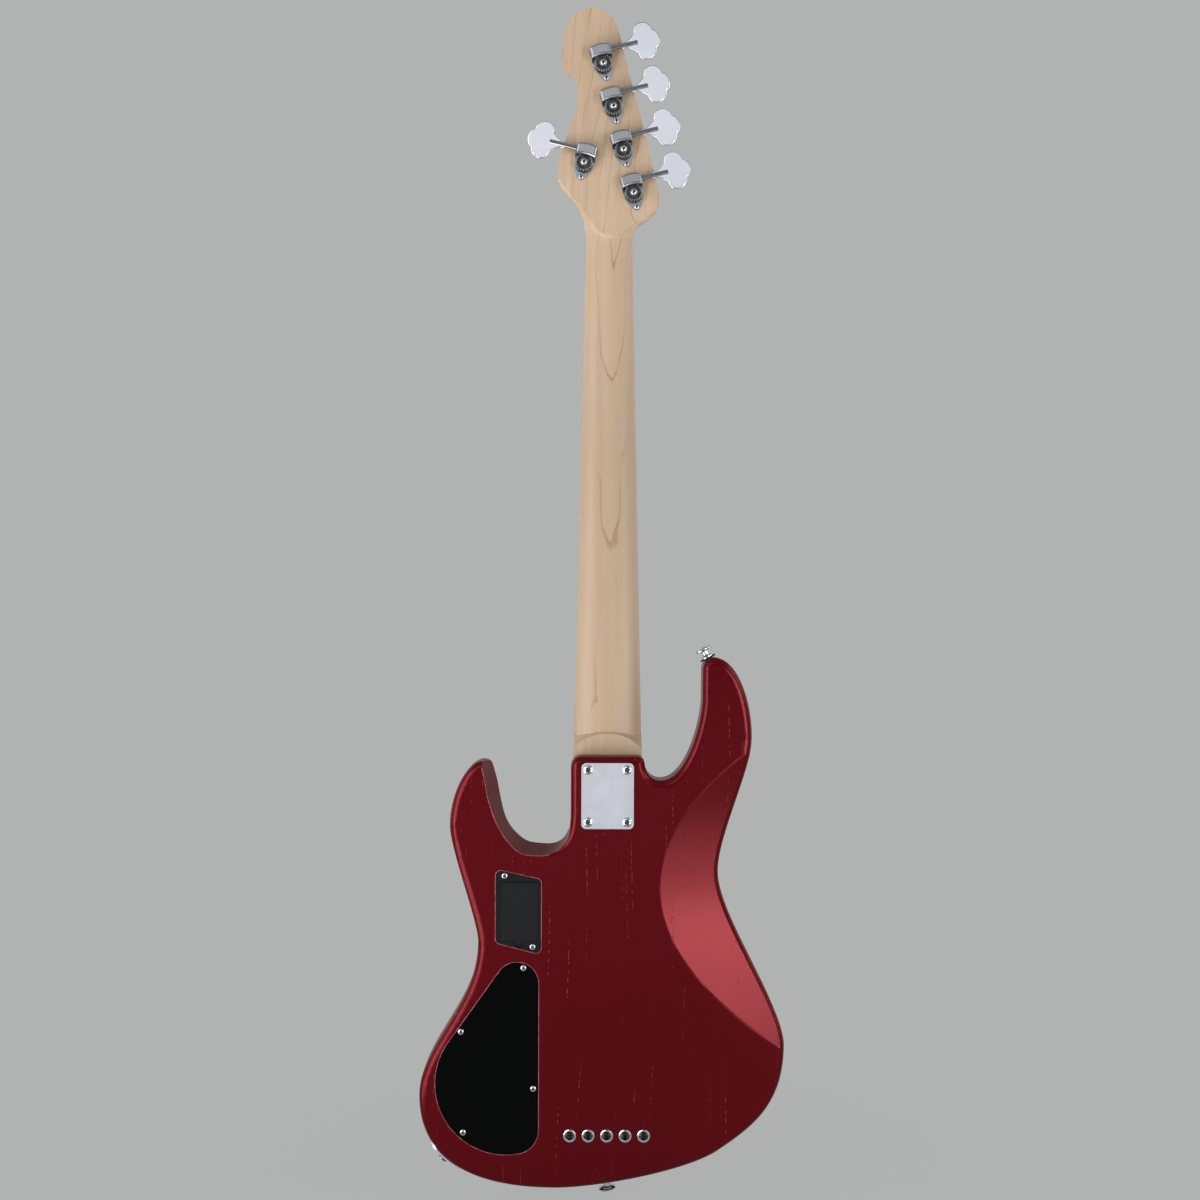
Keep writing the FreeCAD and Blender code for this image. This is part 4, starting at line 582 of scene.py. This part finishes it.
def key_clover(sizes):
    """The clover of a tuner key, its shaft along Z: an outline drawn point by point, made a plate."""
    put_down()
    bpy.ops.curve.primitive_bezier_curve_add(enter_editmode=True)
    bpy.ops.curve.select_all(action="SELECT")
    bpy.ops.curve.delete(type="VERT")
    outline = [(across, along) for along, across in KEY_HALF]
    outline += [(-across, along) for along, across in KEY_HALF[-2::-1]]
    for across, along in outline:
        bpy.ops.curve.vertex_add(location=(across / 1000, along / 1000, 0))
    bpy.ops.curve.select_all(action="SELECT")
    bpy.ops.curve.handle_type_set(type="AUTOMATIC")
    bpy.ops.curve.cyclic_toggle()
    bpy.ops.object.mode_set(mode="OBJECT")
    clover = bpy.context.object
    clover.data.dimensions = "2D"
    clover.data.fill_mode = "BOTH"
    clover.data.extrude = sizes.key_thickness / 2 - sizes.key_rounding
    clover.data.bevel_depth = sizes.key_rounding
    clover.data.bevel_resolution = 3
    clover.data.offset = -sizes.key_rounding
    clover.data.resolution_u = 7
    clover.rotation_euler.x = math.pi / 2
    bpy.ops.object.convert(target="MESH")
    bpy.ops.object.transform_apply(rotation=True)
    clover = bpy.context.object
    bpy.ops.object.mode_set(mode="EDIT")
    weld()
    bpy.ops.mesh.normals_make_consistent(inside=False)
    pick(lambda f: abs(f.normal.y) > 0.999)
    bpy.ops.mesh.inset(thickness=sizes.key_rounding * 0.4)
    smooth(clover, 40)
    return clover


def bar(size, spot, turn=0.0):
    put_down()
    bpy.ops.mesh.primitive_cube_add(size=1, location=spot, rotation=(0, 0, turn), scale=size)
    bpy.ops.object.transform_apply(location=True, rotation=True, scale=True)
    return bpy.context.object


def post(vertices, radius, depth, middle):
    """An upright cylinder on the Z axis."""
    put_down()
    bpy.ops.mesh.primitive_cylinder_add(vertices=vertices, radius=radius, depth=depth,
                                        location=(0, 0, middle))
    bpy.ops.object.transform_apply(location=True)
    return bpy.context.object


def screw_master(radius, crown, shank, depth, recess, finish):
    """A domed screw standing on the origin, with a cross or a hexagon cut in its head."""
    master = post(36, radius, crown * 0.36, crown * 0.18)
    master.data.materials.append(finish)
    bpy.ops.object.mode_set(mode="EDIT")
    pick(faces_up)
    for height, share in SCREW_CROWN:
        rise(crown * height, share)
    pick(faces_down)
    bpy.ops.mesh.inset(thickness=radius - shank)
    rise(-depth + shank)
    rise(-shank, 0.1)
    put_down()
    # The walls of the recess take the painted shade
    if recess == "cross":
        for turn in (CROSS_TURN, CROSS_TURN + math.pi / 2):
            arm = bar((radius * 1.24, radius * 0.34, crown), (0, 0, crown * 0.95), turn)
            carve(master, arm, screw_grime())
    else:
        carve(master, post(6, radius * 0.42, crown, crown), screw_grime())
    smooth(master)
    return master


def knob_master(radius, sizes):
    """A fluted knob standing on the origin, with a dished crown and a short groove as its mark."""
    knob = post(2 * sizes.flutes, radius, KNOB_TALL * 0.72, KNOB_TALL * 0.36)
    sector = math.pi / sizes.flutes

    def is_flute(face):
        middle = face.calc_center_median()
        place = int(round(math.atan2(middle.y, middle.x) / sector - 0.5))
        return abs(face.normal.z) < 0.1 and place % 2 == 1

    bpy.ops.object.mode_set(mode="EDIT")
    pick(is_flute)
    bpy.ops.mesh.inset(thickness=FLUTE_LAND, use_individual=True)
    bpy.ops.transform.shrink_fatten(value=-sizes.knob_flute)
    pick(faces_up)
    for height, share in KNOB_CROWN:
        rise(KNOB_TALL * height, share)
    pick(faces_down)
    bpy.ops.mesh.inset(thickness=KNOB_WALL)
    rise(KNOB_WALL)
    put_down()
    mark = (KNOB_MARK, radius * 0.42, KNOB_MARK)
    carve(knob, bar(mark, (0, radius * 0.52, KNOB_TALL * 0.985)))
    smooth(knob, 28)
    return knob


def solids(node):
    """The points of each separate solid in a CAD node."""
    mesh = NODES[node].data
    points = np.empty(len(mesh.vertices) * 3)
    mesh.vertices.foreach_get("co", points)
    points = points.reshape(-1, 3)
    corners = np.unique(np.round(points, 6), axis=0, return_inverse=True)[1].ravel()
    owner = np.arange(corners.max() + 1)
    faces = np.array([[corners[v] for v in f.vertices] for f in mesh.polygons])
    before = None
    while before is None or not np.array_equal(before, owner):
        before = owner.copy()
        lowest = owner[faces].min(axis=1)
        for side in range(faces.shape[1]):
            np.minimum.at(owner, faces[:, side], lowest)
        owner = owner[owner]
    labels = owner[corners]
    return [points[labels == value] for value in np.unique(labels)]


def screw_stands(node):
    """Each screw of a node: top of its head, way the head faces, length and greatest radius."""
    found = []
    for points in solids(node):
        middle = points.mean(axis=0)
        axis = np.linalg.eigh(np.cov((points - middle).T))[1][:, -1]
        along = (points - middle) @ axis
        out = np.linalg.norm(points - middle - np.outer(along, axis), axis=1)
        rim = along[out > out.max() * 0.98].mean()
        if rim < (along.max() + along.min()) / 2:
            axis, along = -axis, -along
        top = Vector(middle + axis * along.max())
        found.append((top, Vector(axis), along.max() - along.min(), out.max()))
    return found


def stood(spot, axis):
    """The place of a piece that stands on a spot, with its Z along an axis."""
    return Matrix.Translation(spot) @ UP.rotation_difference(axis).to_matrix().to_4x4()


def copies(master, places, name):
    """One object of copies of a master, each with its own mesh, at the given places."""
    made = []
    for place in places:
        copy = master.copy()
        copy.data = master.data.copy()
        copy.data.transform(place)
        bpy.context.scene.collection.objects.link(copy)
        made.append(copy)
    bpy.data.objects.remove(master)
    put_down()
    for copy in made:
        copy.select_set(True)
    bpy.context.view_layer.objects.active = made[0]
    if len(made) > 1:
        bpy.ops.object.join()
    made[0].name = name
    made[0].data.name = name
    return made[0]


def settle(piece, body, material=None):
    if material:
        piece.data.materials.clear()
        piece.data.materials.append(material)
    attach(piece, body)


def screws(node, crown, shank, finish):
    """Cross-headed screws in the place of a node's plain ones."""
    stands = screw_stands(node)
    depth, radius = stands[0][2:]
    master = screw_master(radius, crown, shank, depth - crown, "cross", finish)
    places = [stood(top - axis * crown, axis) for top, axis, *_ in stands]
    piece = copies(master, places, node + "_cut")
    settle(piece, "instrument")
    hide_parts(node)


def key_place(number):
    """The place of a tuner key's clover: on the gear's axis, with its Z along the key's shaft."""
    turns = {joint["name"]: joint for joint in frame["record"]["behaviour"]["joints"]}
    shaft = turns["key_%d_turn" % number]
    along = Vector(shaft["axis"])
    start = Vector(shaft["pos_m"])
    start += along * (Vector(turns["post_%d_turn" % number]["pos_m"]) - start).dot(along)
    turn = Matrix((along.cross(FORWARD), FORWARD, along)).transposed()
    return Matrix.Translation(start) @ turn.to_4x4()


def edge_line(node, name, test, radius):
    """A fine bead along the sharp edges of a node that pass a test."""
    take_up(NODES[node])
    bpy.ops.object.duplicate()
    line = bpy.context.object
    line.name = name
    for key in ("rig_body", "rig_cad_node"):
        del line[key]
    line.parent = None
    bpy.ops.object.mode_set(mode="EDIT")
    weld()
    pick(lambda e: len(e.link_faces) == 2 and e.calc_face_angle(0.0) > SHARP and test(e), "EDGE")
    bpy.ops.mesh.select_all(action="INVERT")
    bpy.ops.mesh.delete(type="EDGE")
    bpy.ops.object.mode_set(mode="OBJECT")
    bpy.ops.object.convert(target="CURVE")
    line.data.bevel_depth = radius
    line.data.bevel_resolution = 2
    bpy.ops.object.convert(target="MESH")
    smooth(bpy.context.object, 60)
    return bpy.context.object


# Stage

def set_camera(scene, stage):
    put_down()
    bpy.ops.object.camera_add(location=stage.camera_spot,
                              rotation=(math.pi / 2, stage.camera_roll, 0))
    camera = bpy.context.object
    camera.data.lens = stage.lens
    camera.data.sensor_width = 36.0
    camera.data.clip_end = 60.0
    scene.camera = camera


def set_lamp(name, spot, aim, wide, tall, power, tint):
    """A softbox out of the camera's sight; the one in front of the bass isn't mirrored either."""
    put_down()
    bpy.ops.object.light_add(type="AREA", location=spot)
    lamp = bpy.context.object
    lamp.name = name
    lamp.rotation_euler = (Vector(aim) - Vector(spot)).to_track_quat("-Z", "Y").to_euler()
    lamp.data.shape = "RECTANGLE"
    lamp.data.size, lamp.data.size_y = wide, tall
    lamp.data.energy = power
    lamp.data.color = tint
    lamp.visible_camera = False
    lamp.visible_glossy = name != "far_front"


def set_flags():
    """Dark cards out of sight that plated parts and the cutaway's wall mirror."""
    f = Finish("dark_card")
    f.add_output(f.add("ShaderNodeBsdfDiffuse", {}, {"Color": (0.01, 0.01, 0.011, 1.0)}))
    for name, spot, turn, wide, tall in FLAGS:
        put_down()
        bpy.ops.mesh.primitive_plane_add(size=1, location=spot, rotation=(math.radians(turn), 0, 0))
        flag = bpy.context.object
        flag.name = name
        flag.scale = (wide, tall, 1.0)
        bpy.ops.object.transform_apply(location=True, rotation=True, scale=True)
        flag.data.materials.append(f.material)
        flag.visible_camera = False
        flag.visible_shadow = False
        flag.visible_diffuse = False


def seen(tree):
    """1 for rays from the camera, off a polished face or through glass."""
    path = tree.nodes.new("ShaderNodeLightPath")
    total = path.outputs["Is Camera Ray"]
    for name in ("Is Glossy Ray", "Is Transmission Ray"):
        either = tree.nodes.new("ShaderNodeMath")
        either.operation = "MAXIMUM"
        tree.links.new(total, either.inputs[0])
        tree.links.new(path.outputs[name], either.inputs[1])
        total = either.outputs[0]
    return total


def set_sky(scene, stage):
    """Even white light, which is seen as the flat backdrop."""
    world = scene.world or bpy.data.worlds.new("studio")
    scene.world = world
    world.use_nodes = True
    tree = world.node_tree
    tree.nodes.clear()
    light = tree.nodes.new("ShaderNodeBackground")
    light.inputs["Color"].default_value = (*WHITE, 1.0)
    light.inputs["Strength"].default_value = stage.ambient
    backdrop = tree.nodes.new("ShaderNodeBackground")
    backdrop.inputs["Color"].default_value = (*stage.backdrop, 1.0)
    mix = tree.nodes.new("ShaderNodeMixShader")
    tree.links.new(seen(tree), mix.inputs[0])
    tree.links.new(light.outputs[0], mix.inputs[1])
    tree.links.new(backdrop.outputs[0], mix.inputs[2])
    out = tree.nodes.new("ShaderNodeOutputWorld")
    tree.links.new(mix.outputs[0], out.inputs[0])


def set_floor(stage):
    """A floor in the backdrop's colour that keeps a soft shadow near the bass."""
    put_down()
    bpy.ops.mesh.primitive_circle_add(vertices=96, radius=FLOOR_RADIUS, fill_type="NGON",
                                      location=(0, 0, CAD_BOX[0].z - stage.floor_gap))
    floor = bpy.context.object
    floor.name = "floor"
    bpy.ops.object.transform_apply(location=True)
    f = Finish("grey_floor")
    level = f.add("ShaderNodeCombineXYZ", {}, {0: f.x, 1: f.y})
    reach = f.add("ShaderNodeVectorMath", {"operation": "LENGTH"}, {0: level}, out="Value")
    share = Wire(f, seen(f.tree)) * (0.92 + f.ease(reach, 0.15, 0.55) * 0.08)
    paint = (*stage.backdrop, 1.0)
    matt = f.add("ShaderNodeBsdfDiffuse", {}, {"Color": paint})
    glow = f.add("ShaderNodeEmission", {}, {"Color": paint, "Strength": 1.0})
    f.add_output(f.add("ShaderNodeMixShader", {}, {0: share, 1: matt, 2: glow}))
    floor.data.materials.append(f.material)


# Pieces

class BASS_OT_body(bpy.types.Operator):
    """Red lacquer over the open grain of the body, with its sharp edges rounded over"""

    bl_idname = "bass.body"
    bl_label = "Body"

    def execute(self, context):
        dress(red_lacquer(), "body")

        def on_back(edge):
            return all(abs(v.co.y - BODY_BACK) < 0.0002 for v in edge.verts)

        bead = edge_line("body", "lacquer_edges", on_back, context.scene.bass_sizes.edge_bead)
        # The bead carries the painted highlight along the sharp back edges
        settle(bead, "instrument", edge_highlight_finish())
        return {"FINISHED"}


class BASS_OT_neck(bpy.types.Operator):
    """Maple neck and fingerboard with their dots, frets, nut and truss rod"""

    bl_idname = "bass.neck"
    bl_label = "Neck and fingerboard"

    def execute(self, context):
        dress(maple("clear_maple_neck", 1.0), "neck")
        dress(maple("maple_fingerboard", 0.0), "fingerboard")
        dress(inlay_black(), "position_dots")
        dress(plated("fret_wire", tone("steel"), 0.16), "frets")
        dress(plated("truss_rod_steel", tone("steel"), 0.34), "truss_rod")
        dress(bone(), "nut")
        return {"FINISHED"}


class BASS_OT_strings(bpy.types.Operator):
    """Round-wound strings"""

    bl_idname = "bass.strings"
    bl_label = "Strings"

    def execute(self, context):
        dress(wound_wire(), "strings")
        return {"FINISHED"}


class BASS_OT_tuners(bpy.types.Operator):
    """Plated tuner plates, worm covers, posts and keys, dark gears and the screw in each gear"""

    bl_idname = "bass.tuners"
    bl_label = "Tuners"

    def execute(self, context):
        sizes = context.scene.bass_sizes
        chrome = plated("tuner_chrome", tone("chrome"), 0.13, 0.10)
        nickel = plated("tuner_nickel", tone("nickel"), 0.17, 0.12)
        polished = plated("polished_key_plate", tone("plate"), 0.10)
        # Painted shade: the shafts get darkened chrome
        shaded_shafts = plated("key_shaft_chrome", tone("shaft"), 0.07)
        dress(nickel, "tuner_plates", "tuner_covers")
        dress(chrome, "tuner_bushings")
        for number in NUMBERS:
            dress(shaded_shafts, "tuner_key_%d" % number)
            piece = copies(key_clover(sizes), [key_place(number)], "key_clover_%d" % number)
            settle(piece, "key_%d" % number, polished)
            dress(chrome, "tuner_post_%d" % number)
            dress(oiled_gear(number), "tuner_gear_%d" % number)
            low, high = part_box("tuner_gear_%d" % number)
            foot = Vector(((low.x + high.x) / 2, low.y, (low.z + high.z) / 2))
            master = screw_master(sizes.gear_screw, crown=0.0022, shank=0.0016, depth=0.0005,
                                  recess="hexagon", finish=chrome)
            piece = copies(master, [stood(foot, BACKWARD)], "gear_screw_%d" % number)
            settle(piece, "post_%d" % number)
        return {"FINISHED"}


class BASS_OT_plates(bpy.types.Operator):
    """Neck plate, control cover, battery box with its door and the battery"""

    bl_idname = "bass.plates"
    bl_label = "Plates and covers"

    def execute(self, context):
        dress(plated("polished_neck_plate", tone("plate"), 0.12), "neck_plate")
        dress(black_gloss(), "control_cover")
        dress(black_moulded("moulded_black_frame", 0.0), "battery_box")
        dress(black_moulded("brushed_black_door", 1.0), "battery_door")
        dress(battery_case(), "battery")
        return {"FINISHED"}


class BASS_OT_screws(bpy.types.Operator):
    """Screws with a cross cut in the head, in the place of each plain one"""

    bl_idname = "bass.screws"
    bl_label = "Screws"

    def execute(self, context):
        chrome = plated("screw_chrome", tone("chrome"), 0.15, 0.10)
        black = plated("black_screw", (0.05, 0.05, 0.055), 0.28)
        finishes = {"screw_chrome": chrome, "black_screw": black}
        for node, crown, shank, finish, slot in SCREWS:
            screws(node, crown, shank, finishes[finish])
        dress(chrome, "strap_button_screws")
        return {"FINISHED"}


class BASS_OT_fittings(bpy.types.Operator):
    """String ferrules, strap buttons with their felt washers and the jack"""

    bl_idname = "bass.fittings"
    bl_label = "Ferrules, strap buttons and jack"

    def execute(self, context):
        chrome = plated("fitting_chrome", tone("chrome"), 0.12, 0.10)
        dress(chrome, "string_ferrules", "strap_buttons")
        dress(plated("jack_plate_satin", tone("plate"), 0.30), "jack_plate")
        # Painted shade: the jack's nut is steel darkened to 0.30 of its tone
        dress(plated("jack_nut_steel", tone("steel", 0.30), 0.22), "jack_socket")
        dress(felt(), "strap_washers")
        return {"FINISHED"}


class BASS_OT_bridge(bpy.types.Operator):
    """Bridge plate and saddles, with two height screws in each saddle"""

    bl_idname = "bass.bridge"
    bl_label = "Bridge"

    def execute(self, context):
        chrome = plated("bridge_chrome", tone("chrome"), 0.13, 0.10)
        dress(chrome, "bridge_plate")
        radius = context.scene.bass_sizes.grub_screw
        for number in NUMBERS:
            node = "saddle_%d" % number
            dress(chrome, node)
            low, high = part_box(node)
            master = screw_master(radius, crown=0.0012, shank=radius * 0.9, depth=0.0012,
                                  recess="hexagon", finish=chrome)
            places = [stood((x, high.y - GRUB_BELOW, high.z - GRUB_END), FORWARD)
                      for x in (low.x + GRUB_SIDE, high.x - GRUB_SIDE)]
            piece = copies(master, places, "height_screws_%d" % number)
            settle(piece, "saddle_%d_block" % number)
        return {"FINISHED"}


class BASS_OT_pickups(bpy.types.Operator):
    """Black pickup covers with steel poles"""

    bl_idname = "bass.pickups"
    bl_label = "Pickups"

    def execute(self, context):
        dress(black_moulded("pickup_cover_black", 0.0), "pickup_covers")
        dress(plated("pole_steel", tone("steel"), 0.22), "pickup_poles")
        return {"FINISHED"}


class BASS_OT_controls(bpy.types.Operator):
    """Fluted knobs with a position mark, and the pots, board and leads behind the cover"""

    bl_idname = "bass.controls"
    bl_label = "Controls"

    def execute(self, context):
        chrome = plated("knob_chrome", tone("chrome"), 0.14, 0.10)
        for name in ("volume", "balance", "treble", "bass"):
            node = "knob_" + name
            low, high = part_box(node)
            knob = knob_master((high.x - low.x) / 2, context.scene.bass_sizes)
            foot = Vector(((low.x + high.x) / 2, high.y - KNOB_TALL, (low.z + high.z) / 2))
            piece = copies(knob, [stood(foot, FORWARD)], node + "_fluted")
            settle(piece, "knob_%s_turning" % name, chrome)
            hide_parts(node)
        dress(plated("pot_can", tone("steel"), 0.30), "pots")
        dress(board_green(), "preamp_board")
        dress(lead_cover(), "wiring")
        return {"FINISHED"}


class BASS_OT_stage(bpy.types.Operator):
    """Camera at the photograph's angle, soft lights, grey backdrop and floor"""

    bl_idname = "bass.stage"
    bl_label = "Stage"

    def execute(self, context):
        stage = context.scene.bass_stage
        context.scene.view_settings.view_transform = "Standard"
        set_camera(context.scene, stage)
        for lamp in LAMPS:
            set_lamp(*lamp)
        set_flags()
        set_sky(context.scene, stage)
        set_floor(stage)
        return {"FINISHED"}


PIECES = (BASS_OT_body, BASS_OT_neck, BASS_OT_strings, BASS_OT_tuners, BASS_OT_plates, BASS_OT_screws,
          BASS_OT_fittings, BASS_OT_bridge, BASS_OT_pickups, BASS_OT_controls, BASS_OT_stage)


class BASS_PT_panel(bpy.types.Panel):
    """Steps that finish the bass guitar"""

    bl_idname = "BASS_PT_panel"
    bl_label = "Bass guitar"
    bl_space_type = "VIEW_3D"
    bl_region_type = "UI"
    bl_category = "Bass"

    def draw(self, context):
        for step in PIECES:
            self.layout.operator(step.bl_idname)
        for group in (context.scene.bass_colours, context.scene.bass_sizes, context.scene.bass_stage):
            box = self.layout.box()
            for key in group.__annotations__:
                box.prop(group, key)


GROUPS = {"bass_colours": BassColours, "bass_sizes": BassSizes, "bass_stage": BassStage}


def register():
    for kind in (*GROUPS.values(), *PIECES, BASS_PT_panel):
        bpy.utils.register_class(kind)
    for name, kind in GROUPS.items():
        setattr(bpy.types.Scene, name, PointerProperty(type=kind))


def unregister():
    for name in GROUPS:
        delattr(bpy.types.Scene, name)
    for kind in (BASS_PT_panel, *reversed(PIECES), *GROUPS.values()):
        bpy.utils.unregister_class(kind)


def main():
    register()
    bpy.ops.bass.body()
    bpy.ops.bass.neck()
    bpy.ops.bass.strings()
    bpy.ops.bass.tuners()
    bpy.ops.bass.plates()
    bpy.ops.bass.screws()
    bpy.ops.bass.fittings()
    bpy.ops.bass.bridge()
    bpy.ops.bass.pickups()
    bpy.ops.bass.controls()
    bpy.ops.bass.stage()


if __name__ == "__main__":
    main()
